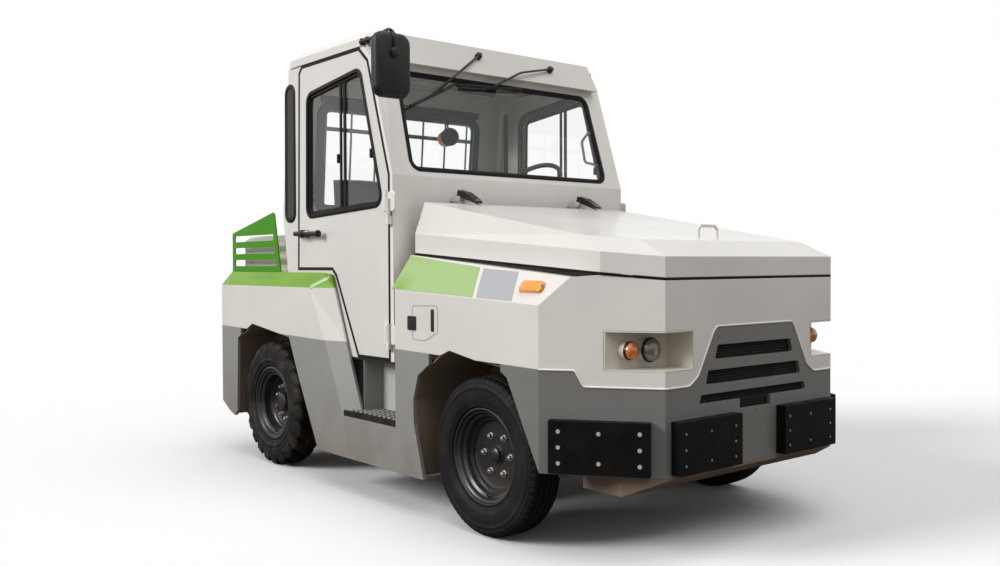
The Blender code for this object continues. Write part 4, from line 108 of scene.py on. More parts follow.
class PaintSettings(bpy.types.PropertyGroup):
    white: bpy.props.FloatVectorProperty(
        name="Body white", description="Paint of the cab and the body",
        default=(0.70, 0.675, 0.64), **COLOUR,
    )
    cream: bpy.props.FloatVectorProperty(
        name="Cream", description="Paint of the rear box and the lamp bays",
        default=(0.66, 0.62, 0.54), **COLOUR,
    )
    grey: bpy.props.FloatVectorProperty(
        name="Skirt grey", description="Paint of the nose, side and tail skirts",
        default=(0.265, 0.262, 0.25), **COLOUR,
    )
    fender: bpy.props.FloatVectorProperty(
        name="Fender green", description="Paint of the sloping tops of the rear fenders",
        default=(0.150, 0.315, 0.006), **COLOUR,
    )
    louver: bpy.props.FloatVectorProperty(
        name="Side plate green", description="Paint of the slotted plates on the deck",
        default=(0.055, 0.265, 0.001), **COLOUR,
    )
    yellow: bpy.props.FloatVectorProperty(
        name="Rail yellow", description="Paint of the grab rails",
        default=(0.86, 0.56, 0.02), **COLOUR,
    )
    stripe_green: bpy.props.FloatVectorProperty(
        name="Stripe green", description="Foil of the green field under the hood",
        default=(0.305, 0.455, 0.165), **COLOUR,
    )
    stripe_grey: bpy.props.FloatVectorProperty(
        name="Stripe grey", description="Foil of the grey field under the hood",
        default=(0.365, 0.371, 0.395), **COLOUR,
    )
    # painted shade: this darker olive grey on the cab's inner faces stands for the shade inside the cab
    lining: bpy.props.FloatVectorProperty(
        name="Cab lining", description="Paint of the cab's ceiling and inner walls",
        default=(0.41, 0.405, 0.345), **COLOUR,
    )
    underside: bpy.props.FloatVectorProperty(
        name="Underside", description="Paint of the frame and the axles",
        default=(0.080, 0.058, 0.044), **COLOUR,
    )
    wheelhouse: bpy.props.FloatVectorProperty(
        name="Wheelhouse", description="Coating of the wheelhouses and of the pan under the nose",
        default=(0.215, 0.168, 0.125), **COLOUR,
    )


class TyreSettings(bpy.types.PropertyGroup):
    ribs: bpy.props.IntProperty(
        name="Shoulder notches", description="Notches round the front tyre's shoulder", default=64, min=8, max=120,
    )
    lugs: bpy.props.IntProperty(
        name="Lugs", description="Lugs round the rear tyre", default=22, min=8, max=60,
    )
    groove: bpy.props.FloatProperty(
        name="Lug depth", description="Depth of the gaps between the rear tyre's lugs", unit="LENGTH",
        default=0.020, min=0.002, max=0.05,
    )
    rib_groove: bpy.props.FloatProperty(
        name="Rib groove", description="Depth of the front tyre's grooves", unit="LENGTH",
        default=0.008, min=0.001, max=0.02,
    )


class TrimSettings(bpy.types.PropertyGroup):
    gasket: bpy.props.FloatProperty(
        name="Gasket width", description="Width of the rubber round the fixed panes", unit="LENGTH",
        default=0.024, min=0.005, max=0.06,
    )
    window_frame: bpy.props.FloatProperty(
        name="Door window frame", description="Width of the black frame round each door's window", unit="LENGTH",
        default=0.034, min=0.005, max=0.08,
    )
    door_seal: bpy.props.FloatProperty(
        name="Door seal", description="Width of the rubber in the gap round each door", unit="LENGTH",
        default=0.018, min=0.004, max=0.04,
    )
    bolt: bpy.props.FloatProperty(
        name="Pad bolt", description="Radius of the bolts in the rubber pads", unit="LENGTH",
        default=0.009, min=0.002, max=0.03,
    )
    mesh_pitch: bpy.props.FloatProperty(
        name="Mesh pitch", description="Width of one cell of the grille's mesh", unit="LENGTH",
        default=0.014, min=0.005, max=0.05,
    )


class StageSettings(bpy.types.PropertyGroup):
    key: bpy.props.FloatProperty(
        name="Side light", description="Strength of the soft light at the tractor's right side",
        default=2.44, min=0, max=20,
    )
    overhead: bpy.props.FloatProperty(
        name="Overhead light", description="Strength of the broad light above the nose", default=1.44, min=0, max=20,
    )
    fill: bpy.props.FloatProperty(
        name="World fill", description="Strength of the world's light on the tractor", default=0.36, min=0, max=2,
    )
    floor: bpy.props.FloatVectorProperty(
        name="Floor", description="Colour of the floor as the camera sees it",
        default=(0.88, 0.88, 0.88), **COLOUR,
    )
    bounce: bpy.props.FloatVectorProperty(
        name="Floor's bounce", description="Colour of the floor as the tractor's low faces see it",
        default=(0.17, 0.152, 0.135), **COLOUR,
    )


# Materials


def add_node(holder, kind, **settings):
    """Adds one node to a material or a world and sets its properties and its inputs' values by name."""
    node = holder.node_tree.nodes.new(kind)
    for name, value in settings.items():
        if hasattr(node, name):
            setattr(node, name, value)
        else:
            node.inputs[name.replace("_", " ").title()].default_value = value
    return node


def link(holder, source, target):
    holder.node_tree.links.new(source, target)


def position(material):
    """The row's own coordinates, in metres."""
    return add_node(material, "ShaderNodeTexCoord").outputs["Object"]


def position_axes(material):
    split = add_node(material, "ShaderNodeSeparateXYZ")
    link(material, position(material), split.inputs["Vector"])
    return split.outputs


def combine(holder, operation, first, second):
    """One Math node between two sockets."""
    both = add_node(holder, "ShaderNodeMath", operation=operation)
    link(holder, first, both.inputs[0])
    link(holder, second, both.inputs[1])
    return both.outputs["Value"]


def choose_shader(holder, share, first, second, output):
    """Sends the first shader to the output, or the second where the share is 1."""
    mix = add_node(holder, "ShaderNodeMixShader")
    for source, target in ((share, "Fac"), (first, 1), (second, 2)):
        link(holder, source, mix.inputs[target])
    link(holder, mix.outputs["Shader"], output)


def surface(name, colour, roughness, metallic=0.0, coat=0.0, sheen=0.5):
    """A Principled material, with its plain numbers on the shader's own sockets."""
    material = bpy.data.materials.new(name)
    material.use_nodes = True
    material.diffuse_color = (*colour, 1.0)
    shader = material.node_tree.nodes["Principled BSDF"]
    shader.inputs["Base Color"].default_value = (*colour, 1.0)
    shader.inputs["Roughness"].default_value = roughness
    shader.inputs["Metallic"].default_value = metallic
    shader.inputs["Coat Weight"].default_value = coat
    shader.inputs["Coat Roughness"].default_value = 0.12
    shader.inputs["Specular IOR Level"].default_value = sheen
    LOOKS[name] = material
    return material, shader


def noise_field(material, scale, detail=3.0, stretch=(1, 1, 1)):
    """Noise in the row's own metres, with its scale stretched per axis."""
    spread = add_node(material, "ShaderNodeMapping", Scale=stretch)
    field = add_node(material, "ShaderNodeTexNoise", Scale=scale, Detail=detail)
    link(material, position(material), spread.inputs["Vector"])
    link(material, spread.outputs["Vector"], field.inputs["Vector"])
    return field.outputs["Fac"]


def cell_field(material, scale):
    """Leathery cells."""
    cells = add_node(material, "ShaderNodeTexVoronoi", Scale=scale)
    link(material, position(material), cells.inputs["Vector"])
    return cells.outputs["Distance"]


def remap(material, value, low, high, new_low=0.0, new_high=1.0):
    shift = add_node(material, "ShaderNodeMapRange")
    for name, number in (("From Min", low), ("From Max", high), ("To Min", new_low), ("To Max", new_high)):
        shift.inputs[name].default_value = number
    link(material, value, shift.inputs["Value"])
    return shift.outputs["Result"]


def blend_colours(material, share, first, second):
    """Mixes two colours, either of which may be another node's output."""
    mix = add_node(material, "ShaderNodeMix", data_type="RGBA")
    link(material, share, mix.inputs["Factor"])
    for socket, colour in ((mix.inputs[6], first), (mix.inputs[7], second)):
        if isinstance(colour, bpy.types.NodeSocket):
            link(material, colour, socket)
        else:
            socket.default_value = (*colour, 1.0)
    return mix.outputs[2]


def shade(colour, factor):
    return tuple(min(channel * factor, 1.0) for channel in colour)


def add_relief(material, shader, height, strength, edge=0.0):
    """Bump from a height, over edges rounded by a radius."""
    bump = add_node(material, "ShaderNodeBump", Strength=strength, Distance=0.001)
    link(material, height, bump.inputs["Height"])
    if edge:
        rounding = add_node(material, "ShaderNodeBevel", samples=6, Radius=edge)
        link(material, rounding.outputs["Normal"], bump.inputs["Normal"])
    link(material, bump.outputs["Normal"], shader.inputs["Normal"])


def inside_cab(material):
    """1 on the cab's inner faces above the dashboard, 0 elsewhere."""
    across, along, height = position_axes(material)
    share = None
    for source, per_height, edge, above in (
        # face, how it leans with the height, where it lies, which side of it is inside
        (across, 0.0, -INNER_HALF_WIDTH, True),
        (across, 0.0, INNER_HALF_WIDTH, False),
        (height, 0.0, 1.655, True),
        (height, 0.0, 2.452, False),
        (along, -SCREEN_RAKE, -0.7411, True),
        (along, 0.0, -0.2215, True),
        (along, REAR_LEAN, 1.1613, False),
    ):
        lean = add_node(material, "ShaderNodeMath", operation="MULTIPLY_ADD")
        lean.inputs[1].default_value = per_height
        link(material, height, lean.inputs[0])
        link(material, source, lean.inputs[2])
        side = (0.0, 1.0) if above else (1.0, 0.0)
        part = remap(material, lean.outputs["Value"], edge - 0.0005, edge + 0.0005, *side)
        share = part if share is None else combine(material, "MULTIPLY", share, part)
    return share


# brown of the low tint in paint(): partly road dust, partly painted shade of the low faces
LOW_DUST_AND_SHADE = (0.165, 0.125, 0.095)
TYRE_DUST = (0.11, 0.085, 0.066)
DEEP_CORNER = (0.630, 1.140)
DEEP_SQUASH = 1.4


def paint(name, colour, roughness=0.36, coat=0.25, edge=0.004, grime=0.0, upper=None, upper_from=0.0, sheen=0.5,
          lining=None, deep=None, grain=0.05):
    """Sprayed paint: faint mottling, orange peel, soft edges, a brown tint low down that is partly dust and partly
    painted shade, and further colours if given:
    upper above a height, a darker olive grey on the cab's inner faces as painted shade, deep in the stripe's lower
    rear corner."""
    material, shader = surface(name, colour, roughness, coat=coat, sheen=sheen)
    mottle = remap(material, noise_field(material, 2.6, 5.0), 0.35, 0.65)
    tone = blend_colours(material, mottle, shade(colour, 0.965), shade(colour, 1.02))
    if upper is not None:
        above = remap(material, position_axes(material)["Z"], upper_from, upper_from + 0.0005)
        streaks = remap(material, noise_field(material, 5.0, 4.0, (1.0, 0.4, 3.0)), 0.4, 0.62)
        top = blend_colours(material, streaks, shade(upper, 0.90), shade(upper, 1.12))
        tone = blend_colours(material, above, tone, top)
    # painted shade: the cab's inner faces take the darker olive grey, mottled
    if lining is not None:
        inner_mottle = remap(material, noise_field(material, 3.5, 6.0), 0.35, 0.65)
        inner_shade_tone = blend_colours(material, inner_mottle, shade(lining, 0.85), shade(lining, 1.1))
        tone = blend_colours(material, inside_cab(material), tone, inner_shade_tone)
    if deep is not None:
        along, height = DEEP_CORNER
        flat = add_node(material, "ShaderNodeVectorMath", operation="MULTIPLY")
        flat.inputs[1].default_value = (0.0, 1.0, DEEP_SQUASH)
        away = add_node(material, "ShaderNodeVectorMath", operation="DISTANCE")
        away.inputs[1].default_value = (0.0, station(along), height * DEEP_SQUASH)
        link(material, position(material), flat.inputs[0])
        link(material, flat.outputs["Vector"], away.inputs[0])
        faded = remap(material, away.outputs["Value"], 0.01, 0.13, 0.85, 0.0)
        tone = blend_colours(material, faded, tone, deep)
    # painted shade and dust: the colour turns towards a brown low down, in patches
    if grime:
        low = remap(material, position_axes(material)["Z"], 0.20, 0.62, grime, 0.0)
        patches = remap(material, noise_field(material, 6.0, 6.0), 0.35, 0.6, 0.3, 1.0)
        tone = blend_colours(material, combine(material, "MULTIPLY", low, patches), tone, LOW_DUST_AND_SHADE)
    link(material, tone, shader.inputs["Base Color"])
    gloss = remap(material, noise_field(material, 11.0, 4.0), 0.3, 0.7, roughness - 0.05, roughness + 0.07)
    link(material, gloss, shader.inputs["Roughness"])
    add_relief(material, shader, noise_field(material, 420.0, 2.0), grain, edge)


def rubber(name, colour, roughness, dust, grain=260.0, edge=0.002):
    """Rubber with a fine grain and dust in patches."""
    material, shader = surface(name, colour, roughness, sheen=0.10)
    patches = remap(material, noise_field(material, 9.0, 6.0), 0.45, 0.75, 0.0, dust)
    link(material, blend_colours(material, patches, colour, TYRE_DUST), shader.inputs["Base Color"])
    worn = remap(material, noise_field(material, 14.0, 4.0), 0.35, 0.65, roughness - 0.10, roughness + 0.08)
    link(material, worn, shader.inputs["Roughness"])
    add_relief(material, shader, noise_field(material, grain, 4.0), 0.30, edge)


def moulded(name, colour, roughness, grain=520.0):
    """Black moulded plastic with a leathery grain."""
    material, shader = surface(name, colour, roughness, sheen=0.25)
    tone = remap(material, noise_field(material, 7.0, 3.0), 0.3, 0.7)
    tone = blend_colours(material, tone, shade(colour, 0.8), shade(colour, 1.25))
    link(material, tone, shader.inputs["Base Color"])
    add_relief(material, shader, cell_field(material, grain), 0.22, 0.0015)


def steel(name, colour, roughness):
    """Plain metal, brushed faintly along the length."""
    material, shader = surface(name, colour, roughness, metallic=1.0)
    lines = noise_field(material, 60.0, 3.0, (6.0, 1.0, 6.0))
    link(material, remap(material, lines, 0.3, 0.7, roughness - 0.08, roughness + 0.12), shader.inputs["Roughness"])
    add_relief(material, shader, lines, 0.08, 0.001)


def window_glass(name, tint):
    """Clear pane: light passes straight through it, and it mirrors the surroundings."""
    material, shader = surface(name, tint, 0.02)
    shader.inputs["Transmission Weight"].default_value = 1.0
    shader.inputs["IOR"].default_value = 1.33
    output = material.node_tree.nodes["Material Output"]
    clear = add_node(material, "ShaderNodeBsdfTransparent")
    clear.inputs["Color"].default_value = (*tint, 1.0)
    shadow = add_node(material, "ShaderNodeLightPath").outputs["Is Shadow Ray"]
    choose_shader(material, shadow, shader.outputs["BSDF"], clear.outputs["BSDF"], output.inputs["Surface"])


def lens(name, colour, ribs):
    """Moulded lens with fine vertical ribs inside."""
    material, shader = surface(name, colour, 0.16, coat=1.0)
    waves = add_node(material, "ShaderNodeTexWave", Scale=ribs)
    link(material, position(material), waves.inputs["Vector"])
    tone = blend_colours(material, waves.outputs["Fac"], shade(colour, 0.62), shade(colour, 1.15))
    link(material, tone, shader.inputs["Base Color"])
    add_relief(material, shader, waves.outputs["Fac"], 0.25)


def vinyl(name, colour):
    """Seat vinyl with a soft leather grain."""
    material, shader = surface(name, colour, 0.52)
    soft = remap(material, noise_field(material, 12.0, 4.0), 0.3, 0.7)
    tone = blend_colours(material, soft, shade(colour, 0.85), shade(colour, 1.2))
    link(material, tone, shader.inputs["Base Color"])
    add_relief(material, shader, cell_field(material, 240.0), 0.35)


# Mesh building


def piece(name, bm, look, body="chassis", angle=35.0):
    """One object of a mesh, which rides on a CAD body."""
    bmesh.ops.recalc_face_normals(bm, faces=bm.faces)
    mesh = bpy.data.meshes.new(name)
    bm.to_mesh(mesh)
    bm.free()
    mesh.shade_smooth()
    mesh.set_sharp_from_angle(angle=radians(angle))
    made = bpy.data.objects.new(name, mesh)
    bpy.context.scene.collection.objects.link(made)
    mesh.materials.append(LOOKS[look])
    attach(made, body)
    return made


def stand(origin, away, up=(0, 0, 1)):
    """A placement whose Z points away from a surface at origin and whose Y points up along it."""
    out = Vector(away).normalized()
    rise = Vector(up)
    rise = (rise - out * rise.dot(out)).normalized()
    across = rise.cross(out)
    return Matrix.Translation(origin) @ Matrix((across, rise, out)).transposed().to_4x4()


def bridge(bm, ring, after, closed=True):
    """Faces between two rings of vertices."""
    count = len(ring)
    for i in range(count if closed else count - 1):
        j = (i + 1) % count
        bm.faces.new((ring[i], ring[j], after[j], after[i]))


def add_rings(bm, rings, loop=False):
    """Skins between rings of equal counts, each a list of points, and caps or closes them."""
    made = [[bm.verts.new(point) for point in ring] for ring in rings]
    for ring, after in zip(made, made[1:]):
        bridge(bm, ring, after)
    if loop:
        bridge(bm, made[-1], made[0])
    else:
        bm.faces.new(made[0])
        bm.faces.new(made[-1])


def add_lathe(bm, profile, place, steps=48, loop=False):
    """Turns (radius, height) pairs about the placement's Z."""
    made = []
    for k in range(steps):
        angle = 2 * pi * k / steps
        made.append([bm.verts.new(place @ Vector((r * cos(angle), r * sin(angle), z))) for r, z in profile])
    for ring, after in zip(made, made[1:] + made[:1]):
        bridge(bm, ring, after, closed=loop)
    if not loop:
        for end in (0, -1):
            bm.faces.new([ring[end] for ring in made])


def add_sheets(bm, grids):
    """Skins two grids of points that lie over each other and closes them round their edges."""
    rims = []
    for grid in grids:
        rows = [[bm.verts.new(point) for point in row] for row in grid]
        for row, after in zip(rows, rows[1:]):
            bridge(bm, row, after, closed=False)
        rims.append(rows[0][:-1] + [row[-1] for row in rows[:-1]] + rows[-1][:0:-1] + [row[0] for row in rows[:0:-1]])
    bridge(bm, *rims)


def add_slab(bm, size, place, soft):
    """A block round the placement's origin, with its upright edges rounded."""
    x, y, z = (side / 2 for side in size)
    outline = rounded([(-x, -y), (x, -y), (x, y), (-x, y)], soft)
    lip = min(soft / 2, z / 2)
    inner = [(a * (1 - lip / x), b * (1 - lip / y)) for a, b in outline]
    layers = ((inner, -z), (outline, -z + lip), (outline, z - lip), (inner, z))
    add_rings(bm, [[place @ Vector((a, b, level)) for a, b in ring] for ring, level in layers])


def rounded(outline, radius, steps=5):
    """Rounds every corner of a flat outline with an arc."""
    corners = [Vector(point) for point in outline]
    result = []
    for i, corner in enumerate(corners):
        back = (corners[i - 1] - corner).normalized()
        ahead = (corners[(i + 1) % len(corners)] - corner).normalized()
        half = back.angle(ahead) / 2
        middle = corner + (back + ahead).normalized() * radius / sin(half)
        start = corner + back * radius * cos(half) / sin(half) - middle
        end = corner + ahead * radius * cos(half) / sin(half) - middle
        sweep = start.angle_signed(end)
        for k in range(steps + 1):
            result.append(tuple(middle + Matrix.Rotation(-sweep * k / steps, 2) @ start))
    return result


def bent(route, radius, steps=6):
    """Rounds the inner corners of an open route in space."""
    points = [Vector(point) for point in route]
    result = [points[0]]
    for before, corner, after in zip(points, points[1:], points[2:]):
        back = (before - corner).normalized()
        ahead = (after - corner).normalized()
        start = corner + back * radius
        end = corner + ahead * radius
        for k in range(steps + 1):
            t = k / steps
            result.append(start * (1 - t) ** 2 + corner * 2 * t * (1 - t) + end * t * t)
    result.append(points[-1])
    return result


def add_bar(bm, route, radius, sides=12, flat=1.0):
    """A bar along a route; flat squeezes it across its second direction."""
    side = None
    rings = []
    for i, point in enumerate(route):
        before = (point - route[i - 1]) if i else None
        after = (route[i + 1] - point) if i + 1 < len(route) else None
        along = ((before or after).normalized() + (after or before).normalized()).normalized()
        side = along.orthogonal() if side is None else side
        side = (side - along * side.dot(along)).normalized()
        lift = along.cross(side)
        angles = [2 * pi * k / sides for k in range(sides)]
        rings.append([point + side * radius * cos(a) + lift * radius * flat * sin(a) for a in angles])
    add_rings(bm, rings)


def add_band(bm, loop, normal, section):
    """Sweeps a section of (across, out) pairs round a closed flat loop; across points away from its middle."""
    points = [Vector(point) for point in loop]
    normal = Vector(normal).normalized()
    middle = sum(points, Vector()) / len(points)
    rings = []
    for i, point in enumerate(points):
        back = (point - points[i - 1]).normalized()
        ahead = (points[(i + 1) % len(points)] - point).normalized()
        along = (back + ahead).normalized()
        across = along.cross(normal)
        if across.dot(point - middle) < 0:
            across = -across
        reach = 1 / max(along.dot(ahead), 0.5)
        rings.append([point + across * a * reach + normal * out for a, out in section])
    add_rings(bm, rings, loop=True)


def strip_section(width, proud, sink, soft=0.3):
    """Section of a rubber strip: its width, how far it stands proud and how deep it goes in."""
    half = width / 2
    return [(-half, -sink), (-half, proud * (1 - soft)), (-half * (1 - soft), proud), (half * (1 - soft), proud),
            (half, proud * (1 - soft)), (half, -sink)]


def add_bolt(bm, at, away, radius, height, washer=0.0):
    """A hexagon head on a surface, with a washer under it if asked for."""
    place = stand(at, away)
    if washer:
        add_lathe(bm, [(washer, 0), (washer, height * 0.2), (radius * 0.6, height * 0.22)], place, 20)
    hexagon = [(radius * cos(pi * k / 3), radius * sin(pi * k / 3)) for k in range(6)]
    layers = ((1.0, 0.0), (1.0, 0.8), (0.86, 1.0))
    add_rings(bm, [[place @ Vector((x * s, y * s, height * z)) for x, y in hexagon] for s, z in layers])


def add_patch(bm, node, corners, lift, steps=(40, 14)):
    """A thin foil laid on a node's skin between four corners, given round its edge."""
    skin = frame["nodes"][node]
    a, b, c, d = (Vector(corner) for corner in corners)
    out = (b - a).cross(d - a).normalized()
    out *= 1 if out.x * a.x > 0 else -1
    grids = []
    for level in (-SKIN_GAP, lift):
        rows = []
        for j in range(steps[1] + 1):
            v = j / steps[1]
            row = []
            for i in range(steps[0] + 1):
                u = i / steps[0]
                aim = (a * (1 - u) + b * u) * (1 - v) + (d * (1 - u) + c * u) * v
                met, spot, _, _ = skin.ray_cast(aim + out * 0.05, -out)
                row.append((spot if met else aim) + out * level)
            rows.append(row)
        grids.append(rows)
    add_sheets(bm, grids)


# Finishes of the CAD nodes that stay

SLOT_LOOKS = {
    "white_paint": "body white",
    "cream_paint": "box cream",
    "grey_paint": "skirt grey",
    "green_paint": "louver green",
    "underside_paint": "underside",
    "black_paint": "black paint",
    "black_plastic": "black plastic",
    "bumper_rubber": "pad rubber",
    "tyre_rubber": "front tyre",
    "glass": "window glass",
    "yellow_paint": "rail yellow",
    "seat_vinyl": "seat vinyl",
    "steel": "bright steel",
}
NODE_LOOKS = {
    "rear_body": "fender paint",
    "quarter_window_right": "smoked glass",
    "quarter_window_left": "smoked glass",
    "nose_skirt": "nose skirt grey darkened as painted shade",
    "step_right": "step grating",
    "step_left": "step grating",
    "nose_pan": "wheelhouse",
    "rear_wheelhouses": "wheelhouse",
    "grille_mesh": "grille black",
    "cab_front": "white lightened as painted light",
}


def make_looks(scene):
    """All the materials, from the panel's colours."""
    colours = scene.tractor_paint
    paint("body white", colours.white, grime=0.25, lining=colours.lining)
    paint("box cream", colours.cream, grime=0.1)
    paint("skirt grey", colours.grey, roughness=0.42, grime=0.55)
    # painted shade: the nose skirt takes the skirt grey darkened to 0.61, for its front face that the lights reach
    # less
    paint("nose skirt grey darkened as painted shade", shade(colours.grey, 0.61), roughness=0.42, grime=0.25)
    paint("louver green", colours.louver, edge=0.0015, coat=0.0, sheen=0.12)
    paint("fender paint", colours.white, coat=0.1, upper=colours.fender, upper_from=FENDER_EDGE, sheen=0.25)
    # painted light: the body white lightened by 1.16 for the front-facing cab front; also used on the hinge leaves,
    # the nose lip and the grab handles
    paint("white lightened as painted light", shade(colours.white, 1.16), lining=colours.lining)
    # painted shade: the ceiling ribs take the darker olive grey of the cab's inner faces
    paint("cab lining", colours.lining, roughness=0.6, coat=0.0, sheen=0.2)
    # painted light: the skirt grey lightened 1.9 times for the panel in the step well
    paint("grey lightened as painted light", shade(colours.grey, 1.9), roughness=0.5, coat=0.0, sheen=0.3)
    # painted highlight: the stripe green lightened, for the pale strip along the fender's front corner edge
    paint("fender bevel", shade(colours.stripe_green, 1.15), roughness=0.35, edge=0.0)
    paint("seam grey", (0.26, 0.25, 0.235), roughness=0.6, coat=0.0, edge=0.0, sheen=0.2)
    paint("bolt grey", (0.42, 0.42, 0.42), roughness=0.45, coat=0.0, edge=0.0)
    paint("worn tread", (0.30, 0.30, 0.29), roughness=0.5, coat=0.0, edge=0.0)
    paint("underside", colours.underside, roughness=0.68, coat=0.0, edge=0.003, grime=0.5, sheen=0.2)
    paint("wheelhouse", colours.wheelhouse, roughness=0.62, coat=0.0, edge=0.002, grime=0.6, sheen=0.2)
    paint("black paint", (0.012, 0.012, 0.013), roughness=0.34, coat=0.1, edge=0.002, sheen=0.3)
    paint("wheel black", (0.012, 0.012, 0.013), roughness=0.30, coat=0.15, edge=0.0015, grime=0.12, sheen=0.35)
    paint("grille black", (0.004, 0.004, 0.004), roughness=0.6, coat=0.0, edge=0.0, sheen=0.1)
    paint("rail yellow", colours.yellow, edge=0.0)
    paint("stripe green", colours.stripe_green, roughness=0.42, edge=0.0, deep=colours.fender, grain=0.005)
    paint("stripe grey", colours.stripe_grey, roughness=0.42, edge=0.0, grain=0.005)
    moulded("grille wire", (0.032, 0.032, 0.034), 0.40)
    moulded("window trim", (0.016, 0.020, 0.024), 0.45)
    moulded("black plastic", (0.016, 0.016, 0.017), 0.42)
    moulded("lamp bezel", (0.010, 0.010, 0.011), 0.28, 900.0)
    rubber("pad rubber", (0.0030, 0.0028, 0.0030), 0.50, 0.04)
    rubber("gasket rubber", (0.010, 0.010, 0.010), 0.42, 0.05, 420.0, 0.001)
    rubber("front tyre", (0.0105, 0.0105, 0.0120), 0.55, 0.10)
    rubber("rear tyre", (0.0120, 0.0115, 0.0110), 0.62, 0.40)
    rubber("step grating", (0.012, 0.012, 0.012), 0.45, 0.25)
    vinyl("seat vinyl", (0.030, 0.031, 0.034))
    steel("bright steel", (0.56, 0.55, 0.53), 0.32)
    steel("dull steel", (0.30, 0.29, 0.28), 0.45)
    steel("mirror silver", (0.86, 0.88, 0.89), 0.06)
    lens("orange lens", (0.72, 0.19, 0.008), 90.0)
    lens("amber lens", (0.98, 0.33, 0.004), 260.0)
    lens("lamp glass", (0.16, 0.17, 0.15), 120.0)
    lens("red lens", (0.45, 0.008, 0.006), 90.0)
    lens("clear lens", (0.50, 0.52, 0.50), 120.0)
    window_glass("window glass", (0.975, 0.985, 0.98))
    window_glass("smoked glass", (0.20, 0.19, 0.18))
    paint("smoked pane", (0.026, 0.030, 0.023), roughness=0.16, coat=0.0, edge=0.0, sheen=0.15)


def finish_nodes():
    for name, node in frame["nodes"].items():
        slot = node.data.materials[0].name.split(".")[0]
        look = NODE_LOOKS.get(name, SLOT_LOOKS[slot])
        node.data.materials.clear()
        node.data.materials.append(LOOKS[look])


# Wheels


def ring_of_steps(shares, count):
    """Angles round a wheel: each of count pitches is split at the shares."""
    return [(index, share, 2 * pi * (index + share) / count) for index in range(count) for share in shares]


def tyre_mesh(place, half_profile, half_width, angles, sink, slant):
    """Turns a half profile of (radius, distance from the middle) with its mirror image about the placement's Z.
    sink(share, distance, radius) tells how far a point goes in, slant how far it turns with the distance."""
    profile = half_profile + [(r, -d) for r, d in reversed(half_profile) if d > 0]
    rings = []
    for _, share, angle in angles:
        ring = []
        for r, d in profile:
            turn = angle + slant(abs(d), r)
            depth = r - sink(share, abs(d), r)
            ring.append(place @ Vector((depth * cos(turn), depth * sin(turn), d - half_width)))
        rings.append(ring)
    bm = bmesh.new()
    add_rings(bm, rings, loop=True)
    return bm


FRONT_TYRE_PROFILE = [
    # radius, distance from the middle, from the bead out to the tread's middle
    (0.2285, 0.0660), (0.2310, 0.0780), (0.2350, 0.0825), (0.2420, 0.0845), (0.2440, 0.0835), (0.2460, 0.0860),
    (0.2620, 0.0900), (0.2820, 0.0920), (0.3050, 0.0922), (0.3170, 0.0912), (0.3185, 0.0922), (0.3230, 0.0920),
    (0.3245, 0.0903), (0.3350, 0.0882), (0.3400, 0.0868), (0.3420, 0.0880), (0.3450, 0.0872), (0.3470, 0.0846),
    (0.3520, 0.0825), (0.3580, 0.0792), (0.3640, 0.0740), (0.3672, 0.0680), (0.3688, 0.0600), (0.3695, 0.0510),
    (0.3640, 0.0500), (0.3625, 0.0490), (0.3625, 0.0440), (0.3640, 0.0430), (0.3700, 0.0420), (0.3706, 0.0330),
    (0.3707, 0.0210), (0.3645, 0.0200), (0.3630, 0.0190), (0.3630, 0.0140), (0.3645, 0.0130), (0.3708, 0.0120),
    (0.3710, 0.0050), (0.3710, 0.0),
]
REAR_TYRE_PROFILE = [
    (0.2320, 0.0660), (0.2350, 0.0800), (0.2400, 0.0850), (0.2470, 0.0865), (0.2500, 0.0858), (0.2530, 0.0880),
    (0.2660, 0.0928), (0.2680, 0.0946), (0.2740, 0.0948), (0.2760, 0.0934), (0.2860, 0.0938), (0.2990, 0.0944),
    (0.3060, 0.0940), (0.3075, 0.0922), (0.3200, 0.0915), (0.3300, 0.0912), (0.3360, 0.0908), (0.3440, 0.0895),
    (0.3540, 0.0868), (0.3640, 0.0832), (0.3740, 0.0790), (0.3800, 0.0750), (0.3842, 0.0690), (0.3862, 0.0610),
    (0.3872, 0.0500), (0.3878, 0.0400), (0.3882, 0.0300), (0.3884, 0.0200), (0.3885, 0.0150), (0.3885, 0.0110),
    (0.3885, 0.0040), (0.3885, 0.0),
]
NOTCH_SHARES = (0.0, 0.36, 0.44, 0.62, 0.70)
LUG_SHARES = (0.0, 0.05, 0.18, 0.32, 0.46, 0.56, 0.60, 0.655, 0.70, 0.80, 0.90, 0.955)
FRONT_RIM_PROFILE = [
    # radius, height from the tyre's outer face: from the hub cap out to the flange and back inside
    (0.0030, -0.0765), (0.0160, -0.0770), (0.0260, -0.0790), (0.0330, -0.0835), (0.0355, -0.0890),
    (0.0360, -0.0960), (0.0430, -0.0970), (0.0455, -0.0990), (0.0462, -0.1030), (0.0700, -0.1040),
    (0.1200, -0.1035), (0.1480, -0.1030), (0.1560, -0.1010), (0.1620, -0.0950), (0.1640, -0.0860),
    (0.1655, -0.0835), (0.1760, -0.0825), (0.1785, -0.0800), (0.1800, -0.0740), (0.1815, -0.0600),
    (0.1840, -0.0560), (0.1900, -0.0530), (0.1960, -0.0500), (0.1985, -0.0450), (0.2000, -0.0370),
    (0.2030, -0.0320), (0.2110, -0.0285), (0.2135, -0.0250), (0.2150, -0.0195), (0.2175, -0.0168),
    (0.2215, -0.0160), (0.2255, -0.0172), (0.2280, -0.0205), (0.2282, -0.0300), (0.2282, -0.1550),
    (0.2260, -0.1660), (0.2180, -0.1665), (0.2140, -0.1550), (0.1900, -0.1220), (0.1500, -0.1150),
    (0.0600, -0.1150), (0.0360, -0.1150),
]
